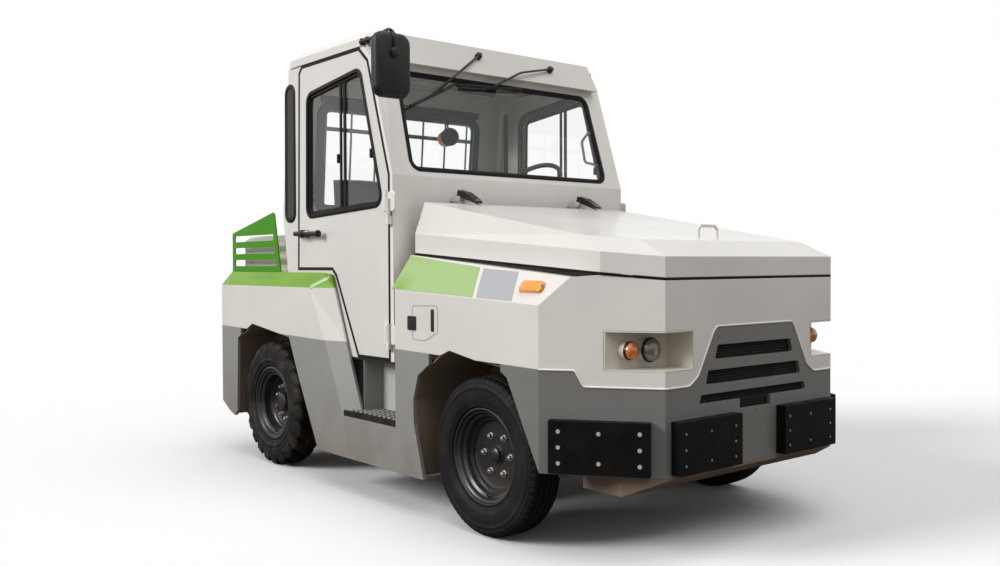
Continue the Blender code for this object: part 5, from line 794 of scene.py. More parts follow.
REAR_RIM_PROFILE = [
    (0.0030, -0.0700), (0.0300, -0.0705), (0.0480, -0.0720), (0.0560, -0.0750), (0.0600, -0.0810),
    (0.0610, -0.0980), (0.0620, -0.1120), (0.0700, -0.1150), (0.0900, -0.1160), (0.1350, -0.1160),
    (0.1450, -0.1140), (0.1520, -0.1080), (0.1560, -0.1000), (0.1640, -0.0960), (0.1680, -0.0900),
    (0.1700, -0.0700), (0.1720, -0.0480), (0.1760, -0.0420), (0.1880, -0.0400), (0.1920, -0.0370),
    (0.1940, -0.0300), (0.1970, -0.0250), (0.2080, -0.0235), (0.2110, -0.0210), (0.2130, -0.0160),
    (0.2170, -0.0140), (0.2230, -0.0140), (0.2290, -0.0165), (0.2310, -0.0210), (0.2312, -0.0300),
    (0.2312, -0.1600), (0.2290, -0.1680), (0.2210, -0.1685), (0.2170, -0.1580), (0.1950, -0.1300),
    (0.1500, -0.1240), (0.0600, -0.1240), (0.0370, -0.1240),
]
NUT_SEATS = {
    # nuts, radius of their circle, height from the tyre's face, first angle
    "front": (6, 0.095, -0.1040, 0.0),
    "rear": (10, 0.108, -0.1162, 0.31),
}


def build_wheels(scene):
    """Tyres with their tread and rims with nuts, one set for each wheel."""
    settings = scene.tractor_tyres
    for wheel, joint in WHEEL_JOINTS.items():
        end, name = wheel.split("_")
        side = dict(SIDES)[name]
        body = f"{end}_wheel_{name}"
        place = stand(joint_place(joint), (side, 0, 0))
        low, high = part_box(f"{end}_tyre_{name}")
        half_width = (high[0] - low[0]) / 2
        if end == "front":
            count, shares, profile = settings.ribs, NOTCH_SHARES, FRONT_TYRE_PROFILE
            notch = settings.rib_groove * 0.45

            def sink(share, distance, radius):
                shoulder = radius > 0.3460 and 0.0500 < distance < 0.0850
                return notch if shoulder and 0.40 < share < 0.66 else 0.0

            def slant(distance, radius):
                return 0.0
        else:
            count, shares, profile = settings.lugs, LUG_SHARES, REAR_TYRE_PROFILE
            depth = settings.groove
            pitch = 2 * pi / count

            def sink(share, distance, radius):
                if radius < 0.333 or distance < 0.008:
                    return 0.0
                weight = 1.0 if share in (0.70, 0.80, 0.90) else 0.55 if share in (0.655, 0.955) else 0.0
                if share in (0.0, 0.60):
                    weight = 0.10
                return depth * weight * min((radius - 0.330) / 0.020, 1.0)

            def slant(distance, radius):
                return pitch * 0.52 * distance / 0.095 if radius > 0.333 else pitch * 0.50

        bm = tyre_mesh(place, profile, half_width, ring_of_steps(shares, count), sink, slant)
        look = "front tyre" if end == "front" else "rear tyre"
        tyre = piece(f"tyre_{wheel}", bm, look, body, 40.0)
        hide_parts(f"{end}_tyre_{name}")

        bm = bmesh.new()
        add_lathe(bm, FRONT_RIM_PROFILE if end == "front" else REAR_RIM_PROFILE, place, 96)
        nuts, circle, seat, first = NUT_SEATS[end]
        stems = bmesh.new()
        for k in range(nuts):
            angle = first + 2 * pi * k / nuts
            spot = place @ Vector((circle * cos(angle), circle * sin(angle), seat))
            add_bolt(stems, spot, (side, 0, 0), 0.0125, 0.017, 0.0165)
            add_lathe(stems, [(0.0055, 0.0), (0.0055, 0.020), (0.004, 0.022)], stand(spot, (side, 0, 0)), 12)
        valve = [place @ Vector(p) for p in ((0.0, -0.196, -0.052), (0.0, -0.180, -0.040), (0.012, -0.172, -0.026))]
        add_bar(bm, bent(valve, 0.006), 0.0045, 10)
        rim = piece(f"rim_{wheel}", bm, "wheel black", body, 28.0)
        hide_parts(f"{end}_rim_{name}")
        piece(f"wheel_nuts_{wheel}", stems, "bright steel", body, 25.0)


# Cab windows and doors


def screen_y(height):
    """World y of the windscreen frame's outer face at a height."""
    along, foot = SCREEN_FOOT
    return station(along) + (height - foot) * SCREEN_RAKE


def rear_y(height):
    """World y of the cab's rear wall at a height."""
    along, foot = REAR_WALL_FOOT
    return station(along) - (height - foot) * REAR_LEAN


DOOR_WINDOW = [(0.859, 1.575), (1.687, 1.538), (1.675, 2.264), (1.080, 2.330)]
DOOR_EDGE = [
    (0.805, 0.763), (1.111, 0.763), (1.345, 1.204), (1.390, 1.241), (1.788, 1.241), (1.763, 2.401), (1.733, 2.431),
    (1.094, 2.431), (1.008, 2.358), (0.805, 1.730),
]
SCREEN_EDGE = [(-0.735, 1.762), (0.735, 1.762), (0.722, 2.314), (-0.722, 2.314)]
REAR_GLASS_EDGE = [(-0.600, 1.620), (0.600, 1.620), (0.600, 2.250), (-0.600, 2.250)]
QUARTER_EDGE = [(1.836, 1.532), (1.944, 1.532), (1.934, 2.338), (1.836, 2.338)]
SASH_BARS = ((1.262, 0.024), (1.305, 0.020))
WINDOW_TOP_FRONT = 1.080
WINDOW_TOP = 2.330
WINDOW_TOP_FALL = 0.111
WINDOW_SILL = 1.556
LATCHES = (0.985, 1.330)
LATCH_LEVEL = 1.86
HANDLE_PIVOT = (1.752, 1.4445)
HANDLE_OUT = 0.040
HANDLE_REACH = 0.272
HINGE_LEVELS = (0.886, 1.584)
HINGE_LEAF_STATION = 0.766
HINGE_PIN_STATION = 0.812
HINGE_BARREL = 0.104
INNER_TRIM = [(-0.006, -0.001), (-0.006, 0.006), (0.0, 0.009), (0.040, 0.007), (0.046, 0.002), (0.046, -0.001)]


def side_loop(outline, x, corner):
    flat = rounded(outline, corner, 8) if corner else outline
    return [(x, station(y), z) for y, z in flat]


def build_gaskets(scene):
    """Black rubber round every pane, two-step frames in the doors and the seals round the doors."""
    trim = scene.tractor_trim
    fixed = [(0.006, -0.003), (0.006, 0.0020), (0.003, 0.0036), (-trim.gasket * 0.45, 0.0036),
             (-trim.gasket * 0.55, -0.0005), (-trim.gasket * 0.9, -0.003), (-trim.gasket, -0.0062)]
    bm = bmesh.new()
    loop = [(x, screen_y(z), z) for x, z in rounded(SCREEN_EDGE, 0.060, 8)]
    add_band(bm, loop, (0, -1, SCREEN_RAKE), fixed)
    piece("windscreen_gasket", bm, "gasket rubber")

    bm = bmesh.new()
    loop = [(x, rear_y(z), z) for x, z in rounded(REAR_GLASS_EDGE, 0.060, 8)]
    add_band(bm, loop, (0, 1, REAR_LEAN), fixed)
    piece("rear_window_gasket", bm, "gasket rubber")

    wide = trim.window_frame
    frame_section = [(0.009, -0.002), (0.009, 0.0030), (0.005, 0.0050), (-wide * 0.30, 0.0050),
                     (-wide * 0.38, 0.0020), (-wide * 0.40, -0.0050), (-wide * 0.80, -0.0050),
                     (-wide * 0.86, -0.0080), (-wide, -0.0142)]
    seal = strip_section(trim.door_seal, 0.0016, 0.010)
    for name, side in SIDES:
        outer = side * CAB_HALF_WIDTH
        away = (side, 0, 0)
        bm = bmesh.new()
        add_band(bm, side_loop(DOOR_WINDOW, outer, 0.060), away, frame_section)
        for along, width in SASH_BARS:
            top = WINDOW_TOP - (along - WINDOW_TOP_FRONT) * WINDOW_TOP_FALL
            spot = spot_at(outer - side * 0.0115, along, (WINDOW_SILL + top) / 2)
            add_slab(bm, (0.009, width, top - WINDOW_SILL - wide * 1.4), Matrix.Translation(spot), 0.002)
        for along in LATCHES:
            spot = spot_at(outer - side * 0.010, along, LATCH_LEVEL)
            add_slab(bm, (0.016, 0.022, 0.050), Matrix.Translation(spot), 0.004)
        piece(f"door_window_frame_{name}", bm, "gasket rubber", f"door_{name}")

        bm = bmesh.new()
        add_band(bm, side_loop(DOOR_EDGE, outer, 0.0), away, [(a + 0.004, out) for a, out in seal])
        piece(f"door_seal_{name}", bm, "gasket rubber", f"door_{name}")

        bm = bmesh.new()
        edge = side_loop(QUARTER_EDGE, outer, 0.045)
        add_band(bm, edge, away, [(0.016, -0.002), (0.016, 0.003), (0.010, 0.0055), (-0.006, 0.0055), (-0.012, 0.001),
                                  (-0.012, -0.002)])
        piece(f"quarter_gasket_{name}", bm, "gasket rubber")
        bm = bmesh.new()
        add_rings(bm, [[(x + side * lift, y, z) for x, y, z in edge] for lift in (-0.0005, 0.0012)])
        piece(f"quarter_pane_{name}", bm, "smoked pane")


def build_door_fittings():
    """Bar handle with its collar, the hinges' leaves and barrels, and the trim round each window inside."""
    for name, side in SIDES:
        outer = side * CAB_HALF_WIDTH
        bm = bmesh.new()
        pivot = spot_at(outer, *HANDLE_PIVOT)
        plate = [(0.024, -0.002), (0.024, 0.006), (0.021, 0.010), (0.014, 0.012), (0.012, 0.034), (0.010, 0.038)]
        add_lathe(bm, plate, stand(pivot, (side, 0, 0)), 32)
        grip = [pivot + Vector((side * HANDLE_OUT, y, z)) for y, z in ((0.010, 0), (-HANDLE_REACH, -0.005))]
        add_bar(bm, grip, 0.0135, 16, 1.1)
        for out, along, rise, away, profile in (
            # collar, tip and foot: distance out, along and up from the pivot, where it faces, its profile
            (HANDLE_OUT, -0.060, -0.001, (0, -1, 0),
             [(0.0140, 0.0), (0.0215, 0.004), (0.0225, 0.038), (0.0140, 0.044)]),
            (HANDLE_OUT, -0.246, -0.0045, (0, -1, 0),
             [(0.0140, 0.0), (0.0195, 0.010), (0.0205, 0.024), (0.0150, 0.030)]),
            (0.0, -0.080, -0.002, (side, 0, 0),
             [(0.023, -0.002), (0.022, 0.008), (0.014, 0.016), (0.014, 0.034)]),
        ):
            add_lathe(bm, profile, stand(pivot + Vector((side * out, along, rise)), away), 24)
        piece(f"door_handle_{name}", bm, "black plastic", f"door_{name}")

        leaves = bmesh.new()
        pins = bmesh.new()
        for level in HINGE_LEVELS:
            leaf = spot_at(outer + side * 0.006, HINGE_LEAF_STATION, level + 0.006)
            add_slab(leaves, (0.070, 0.104, 0.012), stand(leaf, (side, 0, 0)), 0.018)
            barrel = spot_at(outer + side * 0.011, HINGE_PIN_STATION, level - 0.046)
            sleeve = [(0.0100, 0.0), (0.0150, 0.002), (0.0150, HINGE_BARREL - 0.002), (0.0100, HINGE_BARREL)]
            add_lathe(leaves, sleeve, Matrix.Translation(barrel), 24)
            ends = [barrel + Vector((0, 0, end)) for end in (-0.006, HINGE_BARREL + 0.006)]
            add_bar(pins, ends, 0.0042, 12)
        piece(f"hinge_leaves_{name}", leaves, "white lightened as painted light")
        piece(f"hinge_pins_{name}", pins, "dull steel")

        bm = bmesh.new()
        trim_loop = side_loop(DOOR_WINDOW, outer - side * 0.0352, 0.060)
        add_band(bm, trim_loop, (-side, 0, 0), INNER_TRIM)
        piece(f"door_inner_trim_{name}", bm, "window trim", f"door_{name}")


# Wipers, mirror and lights

WIPERS = {
    # pivot, elbow, blade joint, blade ends, as x, station and height
    "right": ((-0.1373, 0.9465, 2.4721), (-0.4062, 0.8334, 2.2992), (-0.4784, 0.8924, 2.2180),
              (-0.3243, 0.9181, 2.2826), (-0.6777, 0.8677, 2.1148)),
    "left": ((0.4175, 0.9393, 2.4594), (0.1354, 0.8895, 2.3969), (-0.0600, 0.9052, 2.2960),
             (0.1716, 0.9245, 2.3040), (-0.3267, 0.9150, 2.2723)),
}


def build_wipers():
    """Cranked arms from the visor's face with their long rubber blades."""
    for name, points in WIPERS.items():
        pivot, elbow, joint, start, end = (spot_at(x, y, z) for x, y, z in points)
        bm = bmesh.new()
        away = Vector((0, -0.867, 0.498))
        add_lathe(bm, [(0.020, -0.030), (0.020, 0.004), (0.015, 0.010), (0.006, 0.012)], stand(pivot, away), 24)
        add_bar(bm, bent([pivot + (pivot - elbow).normalized() * 0.030, elbow, joint], 0.03), 0.0075, 10, 0.7)
        add_bar(bm, [start, end], 0.0075, 8, 1.4)
        spine = Vector((0, -0.010, 0.003))
        bridge_route = [start.lerp(end, 0.16), start.lerp(end, 0.30) + spine, start.lerp(end, 0.70) + spine,
                        start.lerp(end, 0.84)]
        add_bar(bm, bent(bridge_route, 0.02), 0.005, 8)
        wiper = piece(f"wiper_arm_{name}", bm, "black plastic")
        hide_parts(f"wiper_{name}")


MIRROR_PLACE = (-0.955, 0.626, 2.262)
MIRROR_HALF = (0.1055, 0.163)
ARM_LEVEL = 2.462


def build_mirror():
    """Large round-cornered mirror on a bent arm from the roof, its glass turned to the driver."""
    centre = spot_at(*MIRROR_PLACE)
    place = stand(centre, (0, -1, 0))
    x, y = MIRROR_HALF
    outline = rounded([(-x, -y), (x, -y), (x, y), (-x, y)], 0.052, 10)
    layers = [(0.86, 0.026), (0.955, 0.018), (1.0, 0.004), (1.0, -0.018), (0.975, -0.027), (0.93, -0.027)]
    bm = bmesh.new()
    add_rings(bm, [[place @ Vector((x * s, y * s, z)) for x, y in outline] for s, z in layers])
    clamp = centre + Vector((0.0, -0.030, 0.060))
    add_lathe(bm, [(0.026, -0.006), (0.026, 0.008), (0.022, 0.012), (0.008, 0.013)], stand(clamp, (0, -1, 0)), 28)
    arm_x = -CAB_HALF_WIDTH - 0.016
    route = [spot_at(arm_x, 1.050, ARM_LEVEL), spot_at(arm_x, 0.960, ARM_LEVEL), spot_at(-0.957, 0.640, 2.446),
             centre + Vector((0, -0.034, 0.150)), clamp]
    add_bar(bm, bent(route, 0.03), 0.0095, 14)
    for along in (0.985, 1.035):
        add_slab(bm, (0.026, 0.024, 0.036), Matrix.Translation(spot_at(arm_x + 0.006, along, ARM_LEVEL)), 0.005)
    mirror = piece("mirror_housing", bm, "black plastic", angle=50.0)
    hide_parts("mirror_right")
    bm = bmesh.new()
    add_rings(bm, [[place @ Vector((x * 0.90, y * 0.90, z)) for x, y in outline] for z in (-0.0285, -0.0268)])
    piece("mirror_glass", bm, "mirror silver")


BAY_LAMPS = {
    # half spread, lens radius, look of the lens
    "headlamp": (0.560, 0.046, "lamp glass"),
    "indicator": (0.662, 0.034, "orange lens"),
}
LAMP_LEVEL = 0.897
AHEAD_OF_NOSE = -1.2
BEZEL_PROFILE = ((1.17, -0.004), (1.17, 0.004), (1.12, 0.008), (1.06, 0.008), (1.04, 0.004), (1.04, -0.004))
LENS_PROFILE = ((1.05, -0.003), (1.05, 0.014), (0.99, 0.020), (0.80, 0.0255), (0.45, 0.0295), (0.10, 0.0310))
TAIL_LAMP_LEVEL = 1.010
TAIL_LAMPS = {
    # distance from the middle, look of the lens
    "tail_indicator": (0.715, "orange lens"),
    "tail_lamp": (0.800, "red lens"),
}
MARKER_PLACE = (0.879, -1.354, 1.160)


def build_lamps():
    """Headlamps and indicators in the nose bays, marker lamps on the shoulders and the tail lamps."""
    for name, side in SIDES:
        node = frame["nodes"][f"lamp_bay_{name}"]
        for kind, (spread, radius, look) in BAY_LAMPS.items():
            _, spot, _, _ = node.ray_cast(spot_at(side * spread, AHEAD_OF_NOSE, LAMP_LEVEL), Vector((0, 1, 0)))
            place = stand(spot, (0, -1, 0))
            bm = bmesh.new()
            add_lathe(bm, [(radius * share, z) for share, z in BEZEL_PROFILE], place, 40, loop=True)
            piece(f"{kind}_bezel_{name}", bm, "lamp bezel")
            bm = bmesh.new()
            add_lathe(bm, [(radius * share, z) for share, z in LENS_PROFILE], place, 40)
            piece(f"{kind}_lens_{name}", bm, look)
            if kind == "headlamp":
                bm = bmesh.new()
                add_slab(bm, (0.016, 0.046, 0.004), place @ Matrix.Translation((0, 0.002, 0.0300)), 0.0075)
                piece(f"headlamp_bulb_{name}", bm, "clear lens")

        shoulder = frame["nodes"]["front_body"]
        _, spot, normal, _ = shoulder.closest_point_on_mesh(Vector((side * MARKER_PLACE[0], *MARKER_PLACE[1:])))
        place = stand(spot, normal, (0, 0, 1))
        bm = bmesh.new()
        half = [(0.063, -0.028), (0.072, -0.014), (0.072, -0.006), (0.064, -0.004), (0.064, 0.004), (0.070, 0.007),
                (0.068, 0.016), (0.058, 0.027)]
        outline = rounded(half + [(-x, y) for x, y in reversed(half)], 0.0018, 3)
        layers = ((1.0, -0.003), (1.0, 0.011), (0.95, 0.016), (0.84, 0.018))
        add_rings(bm, [[place @ Vector((x * s, y * s, z)) for x, y in outline] for s, z in layers])
        piece(f"marker_lens_{name}", bm, "amber lens", angle=25.0)
        bm = bmesh.new()
        for end in (-0.070, 0.070):
            add_bolt(bm, place @ Vector((end, 0, 0)), normal, 0.0042, 0.009)
        piece(f"marker_screws_{name}", bm, "dull steel")

        tail_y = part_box("rear_body")[1][1]
        for kind, (spread, look) in TAIL_LAMPS.items():
            bm = bmesh.new()
            place = stand((side * spread, tail_y, TAIL_LAMP_LEVEL), (0, 1, 0))
            add_lathe(bm, [(0.038, -0.004), (0.038, 0.010), (0.030, 0.020), (0.012, 0.025)], place, 36)
            piece(f"{kind}_{name}", bm, look)


# Stripes, flap, hood fittings and nose fittings

STRIPES = {
    # corners as distance from the middle, station and height, from the rear top corner round
    "stripe_green": ((0.8035, 0.684, 1.3055), (0.8303, 0.0735, 1.2459), (0.9225, 0.0166, 1.1096),
                     (0.9225, 0.684, 1.1365)),
    "stripe_grey": ((0.8326, 0.0430, 1.2417), (0.8374, -0.2119, 1.2265), (0.9225, -0.2590, 1.1010),
                    (0.9225, -0.0115, 1.1088)),
}
# ends of the painted highlight strip along each fender's front corner edge
FENDER_HIGHLIGHT_EDGE = ((0.9215, 0.5380, 1.1310), (0.8790, 0.3890, 1.1950))


def build_stripes():
    """Foil fields under the hood's edge, and a painted highlight: a pale strip along the edge at each rear fender's
    front corner.
    """
    for name, side in SIDES:
        for stripe, corners in STRIPES.items():
            bm = bmesh.new()
            add_patch(bm, "front_body", [(side * x, station(y), z) for x, y, z in corners], SKIN_GAP)
            colour = stripe.split("_")[1]
            piece(f"{stripe}_{name}", bm, f"stripe {colour}", angle=60.0)
        bm = bmesh.new()
        rear, front = (Vector((side * x, y, z)) for x, y, z in FENDER_HIGHLIGHT_EDGE)
        wide = Vector((0, 0.004, 0.011))
        add_patch(bm, "rear_body", (rear + wide, front + wide, front - wide, rear - wide), SKIN_GAP, (20, 4))
        piece(f"fender_highlight_{name}", bm, "fender bevel", angle=60.0)


def build_charge_flap():
    """Charging flap on the right side with its catch and its dark slot."""
    x = -BODY_HALF_WIDTH
    away = (-1, 0, 0)
    bm = bmesh.new()
    outline = rounded([(0.496, 0.888), (0.496, 1.056), (0.285, 1.062), (0.285, 0.934), (0.384, 0.890)], 0.014, 6)
    loop = [(x, station(y), z) for y, z in outline]
    add_band(bm, loop, away, [(-0.0014, -0.002), (-0.0014, 0.0009), (0.0014, 0.0009), (0.0014, -0.002)])
    piece("charge_flap_seam", bm, "seam grey")
    bm = bmesh.new()
    add_slab(bm, (0.070, 0.070, 0.007), stand((x - 0.003, station(0.500), 0.970), away), 0.007)
    add_slab(bm, (0.030, 0.044, 0.006), stand((x - 0.007, station(0.503), 0.966), away), 0.006)
    add_slab(bm, (0.022, 0.108, 0.006), stand((x - 0.002, station(0.326), 0.990), away), 0.006)
    piece("charge_flap_catch", bm, "black plastic")


def build_hood_fittings():
    """Black hinge arms that run from the cowl over the hood's rear edge, with their bolts."""
    hinge = joint_place("hood_hinge")
    for name, side in SIDES:
        bm = bmesh.new()
        x = side * 0.450
        tilt = Vector((0, -0.140, -0.040)).normalized()
        up = Vector((0, tilt.z * -1, tilt.y)) * -1
        foot = Vector((x, hinge.y, hinge.z + 0.014))
        profile = ((-0.020, -0.004), (-0.020, 0.030), (0.045, 0.032), (0.125, 0.014), (0.150, 0.004), (0.150, -0.004))
        rings = [[foot + tilt * along + up * rise + Vector((wide, 0, 0)) for along, rise in profile]
                 for wide in (-0.024, 0.024)]
        add_rings(bm, rings)
        piece(f"hood_hinge_cover_{name}", bm, "black paint", "hood", 25.0)
        heads = bmesh.new()
        for along, rise in ((-0.004, 0.031), (0.026, 0.0315), (0.138, 0.009)):
            add_bolt(heads, foot + tilt * along + up * rise, up, 0.0075, 0.006, 0.011)
        piece(f"hood_hinge_bolts_{name}", heads, "dull steel", "hood")


NOSE_PAD_ENDS = (0.160, 0.575)
PAD_LOW = 0.386
PAD_HEIGHT = 0.222
PAD_BOLTS = (
    # share across from the pad's inner end, share up
    (0.10, 0.20), (0.10, 0.50), (0.10, 0.80), (0.50, 0.22), (0.50, 0.78), (0.90, 0.20), (0.90, 0.50), (0.90, 0.80),
)


def build_pad_bolts(scene):
    """Bolts in the four rubber pads: flat heads, each in a flat black ring that is painted shade of its recess, the
    nose pads' heads set off centre as a painted crescent highlight.
    """
    trim = scene.tractor_trim
    for name, side in SIDES:
        ends = {
            "nose": (*(spot_at(side * x, -0.918, 0.0) for x in NOSE_PAD_ENDS), Vector((0, -1, 0))),
            "side": corner_run(side),
        }
        for kind, (start, end, away) in ends.items():
            heads = bmesh.new()
            recess_shades = bmesh.new()
            for across, up in PAD_BOLTS:
                spot = start.lerp(end, across)
                spot.z = PAD_LOW + PAD_HEIGHT * up
                place = stand(spot, away)
                # painted shade: a flat black ring stands for the shade in the bolt's recess
                well = [(trim.bolt * 1.9, -0.001), (trim.bolt * 1.9, 0.0006), (trim.bolt * 0.2, 0.0004)]
                add_lathe(recess_shades, well, place, 24)
                # painted highlight: on the nose pads a smaller steel disc set off to one side gives the crescent of
                # light on a sunken head
                head, crescent_shift = (trim.bolt, 0.0) if kind == "side" else (trim.bolt * 0.62, -trim.bolt * 0.62)
                disc = [(head, 0.0), (head, 0.0010), (head * 0.55, 0.0013), (head * 0.50, 0.0009)]
                add_lathe(heads, disc, place @ Matrix.Translation((crescent_shift, crescent_shift, 0)), 20)
            piece(f"{kind}_pad_wells_{name}", recess_shades, "grille black")
            piece(f"{kind}_pad_bolts_{name}", heads, "bolt grey" if kind == "side" else "dull steel")


def corner_run(side):
    """Ends and outward direction of a side pad's face on the nose chamfer."""
    rear = Vector((BODY_HALF_WIDTH, -0.438))
    run = (Vector((0.610, -0.868)) - rear).normalized()
    away = Vector((-run.y, run.x)) * -1
    if away.x < 0:
        away = -away
    out = away * 0.0505
    near, far = (rear + run * along + out for along in (0.475, 0.050))
    return (spot_at(side * near.x, near.y, 0), spot_at(side * far.x, far.y, 0),
            Vector((side * away.x, away.y, 0)))


GRILLE_FACE = -0.8472
GRILLE_ROWS = (
    # lowest, highest, half width
    (0.842, 0.914, 0.292),
    (0.736, 0.807, 0.354),
    (0.655, 0.705, 0.398),
    (0.612, 0.658, 0.118),
)


PANEL_SCREWS = ((-0.257, 0.946), (0.015, 0.946), (0.291, 0.944), (-0.356, 0.786), (0.386, 0.780), (0.009, 0.601))
NOSE_LIP = (
    # distance from the middle, station and height, from the chamfer's rear corner to the middle
    (0.9255, -0.4385, 0.8145), (0.8327, -0.5651, 0.8145), (0.8115, -0.5941, 0.7460), (0.6105, -0.8685, 0.7455),
    (0.4600, -0.8685, 0.7455), (0.4030, -0.8685, 0.7845), (0.3000, -0.8685, 0.9680), (0.2780, -0.8685, 0.9905),
)


def build_grille(scene):
    """Honeycomb on the plate behind the grille's slots, and the small screws at the panel's corners."""
    pitch = scene.tractor_trim.mesh_pitch
    face = station(GRILLE_FACE)
    reach = pitch / 3 ** 0.5
    wire = pitch * 0.095
    proud = Vector((0, -0.0045, 0))
    sink = Vector((0, 0.0005, 0))
    bm = bmesh.new()
    for low, high, half in GRILLE_ROWS:
        count = int(half / pitch)
        for row in range(int((high - low) / (reach * 1.5)) + 1):
            for column in range(-count, count):
                x = (column + 0.5 * (row % 2)) * pitch
                z = low + row * reach * 1.5
                for k in range(3):
                    first = pi / 6 + k * pi / 3
                    ends = [Vector((x + reach * cos(a), face, z + reach * sin(a))) for a in (first, first + pi / 3)]
                    across = (ends[1] - ends[0]).normalized().cross(Vector((0, 1, 0))) * wire
                    section = (across + sink, across * 0.5 + proud, across * -0.5 + proud, sink - across)
                    add_rings(bm, [[end + corner for corner in section] for end in ends])
    piece("grille_honeycomb", bm, "grille wire", angle=20.0)

    bm = bmesh.new()
    for x, z in PANEL_SCREWS:
        add_bolt(bm, (x, station(-0.868), z), (0, -1, 0), 0.0034, 0.0012)
    piece("grille_screws", bm, "lamp bezel")


def build_nose_lip():
    """Rolled edge of the white body where it overlaps the grey nose, in the lightened white as a painted highlight
    along the edge.
    """
    half = [spot_at(-x, y, z) for x, y, z in NOSE_LIP]
    bm = bmesh.new()
    add_bar(bm, bent(half + [Vector((-p.x, p.y, p.z)) for p in reversed(half)], 0.012, 4), 0.0042, 10)
    piece("nose_lip", bm, "white lightened as painted light", angle=60.0)


TREAD_PITCH = 0.046
TREAD_ROWS = 4
FIRST_TREAD_ROW = 0.772
TREAD_ROW_PITCH = 0.041
WELL_REAR = 0.450
WELL_PANEL = (0.7435, 0.598)


def build_steps():
    """Toothed tread on each step and the panel behind its well, in a lightened grey as painted light in the well."""
    for name, side in SIDES:
        low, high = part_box(f"step_{name}")
        bm = bmesh.new()
        columns = int((high[1] - low[1]) / TREAD_PITCH)
        for row in range(TREAD_ROWS):
            x = side * (FIRST_TREAD_ROW + TREAD_ROW_PITCH * row)
            for column in range(columns):
                y = low[1] + TREAD_PITCH * (column + 0.5 + 0.5 * (row % 2))
                if y > high[1] - 0.012:
                    continue
                spot = Matrix.Translation((x, y, high[2]))
                ring = [(0.0150, -0.001), (0.0140, 0.007), (0.0105, 0.007), (0.0095, -0.001)]
                add_lathe(bm, ring, spot, 14, loop=True)
        piece(f"step_tread_{name}", bm, "worn tread", angle=40.0)
        bm = bmesh.new()
        spread, height = WELL_PANEL
        wall = Vector((side * spread, (low[1] + WELL_REAR) / 2, height))
        add_slab(bm, (WELL_REAR - low[1], 0.330, 0.019), stand(wall, (side, 0, 0)), 0.002)
        piece(f"step_well_{name}", bm, "grey lightened as painted light")


# Inside the cab


def build_linings():
    """Ribs of the ceiling, trims round the rear window, sun visor, grab handle and a round lamp."""
    bm = bmesh.new()
    for along in (1.180, 1.360, 1.540, 1.720, 1.890):
        add_slab(bm, (1.560, 0.060, 0.016), Matrix.Translation((0, station(along), 2.439)), 0.007)
    piece("ceiling_ribs", bm, "cab lining", angle=60.0)

    bm = bmesh.new()
    loop = [(x, rear_y(z) - 0.0212, z) for x, z in rounded(REAR_GLASS_EDGE, 0.060, 8)]
    add_band(bm, loop, (0, -1, -REAR_LEAN), INNER_TRIM)
    top = Vector((0, rear_y(2.300) - 0.026, 2.300))
    add_slab(bm, (1.250, 0.045, 0.010), stand(top, (0, -1, -REAR_LEAN)), 0.006)
    piece("rear_window_trim", bm, "window trim")

    bm = bmesh.new()
    add_slab(bm, (1.220, 0.026, 0.012), stand(Vector((0, rear_y(2.125) + 0.020, 2.125)), (0, 1, REAR_LEAN)), 0.004)
    piece("guard_cross_bar", bm, "black paint")

    bm = bmesh.new()
    shade_place = stand(Vector((-0.120, 0.020, 2.352)), (0, -1, 0.12))
    add_slab(bm, (1.120, 0.050, 0.014), shade_place, 0.006)
    add_slab(bm, (0.285, 0.085, 0.012), stand(Vector((-0.090, 0.030, 2.300)), (0, -1, 0.12)), 0.020)
    piece("sun_visor", bm, "window trim")

    for name, side in SIDES:
        bm = bmesh.new()
        route = [Vector((side * x, y, z)) for x, y, z in (
            (0.835, -0.026, 2.110), (0.790, -0.012, 2.104), (0.782, 0.040, 2.050), (0.782, 0.010, 1.915),
            (0.790, -0.070, 1.893), (0.835, -0.100, 1.889))]
        add_bar(bm, bent(route, 0.018), 0.0085, 12)
        piece(f"grab_handle_{name}", bm, "white lightened as painted light")

    centre = Vector((0.337, 0.870, 2.131))
    aim = Vector((-0.45, -0.89, 0.0))
    bm = bmesh.new()
    add_lathe(bm, [(0.020, -0.050), (0.052, -0.030), (0.062, -0.010), (0.062, 0.004), (0.056, 0.009), (0.010, 0.012)],
              stand(centre, aim), 36)
    add_bar(bm, [centre + Vector((0, 0.02, 0.03)), Vector((0.337, 0.905, 2.270))], 0.007, 10)
    piece("work_lamp", bm, "window trim")
    bm = bmesh.new()
    add_lathe(bm, [(0.054, -0.012), (0.054, 0.002), (0.020, 0.004)],
              stand(centre + Vector((-0.020, 0.026, -0.014)), aim), 32)
    piece("work_lamp_lens", bm, "orange lens")


SEAT_SPREAD = 0.400
SEAT_STATION = 1.540
STEERING_PLACE = (1.090, 1.755)
STEERING_RADIUS = 0.190
GRIP_RADIUS = 0.0145


def build_seats():
    """Padded seats with bolsters and seams, one for each side."""
    for name, side in SIDES:
        x = side * SEAT_SPREAD
        bm = bmesh.new()
        add_cushion(bm, spot_at(x, SEAT_STATION, 1.155), (0.450, 0.430, 0.105), 0.0)
        add_cushion(bm, spot_at(x, 1.765, 1.500), (0.430, 0.590, 0.100), radians(82))
        seat = piece(f"seat_pads_{name}", bm, "seat vinyl", angle=60.0)
        base = bmesh.new()
        add_slab(base, (0.360, 0.320, 0.340), Matrix.Translation((x, station(SEAT_STATION), 0.925)), 0.020)
        stand_piece = piece(f"seat_base_{name}", base, "black plastic")
        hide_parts(f"seat_{name}")


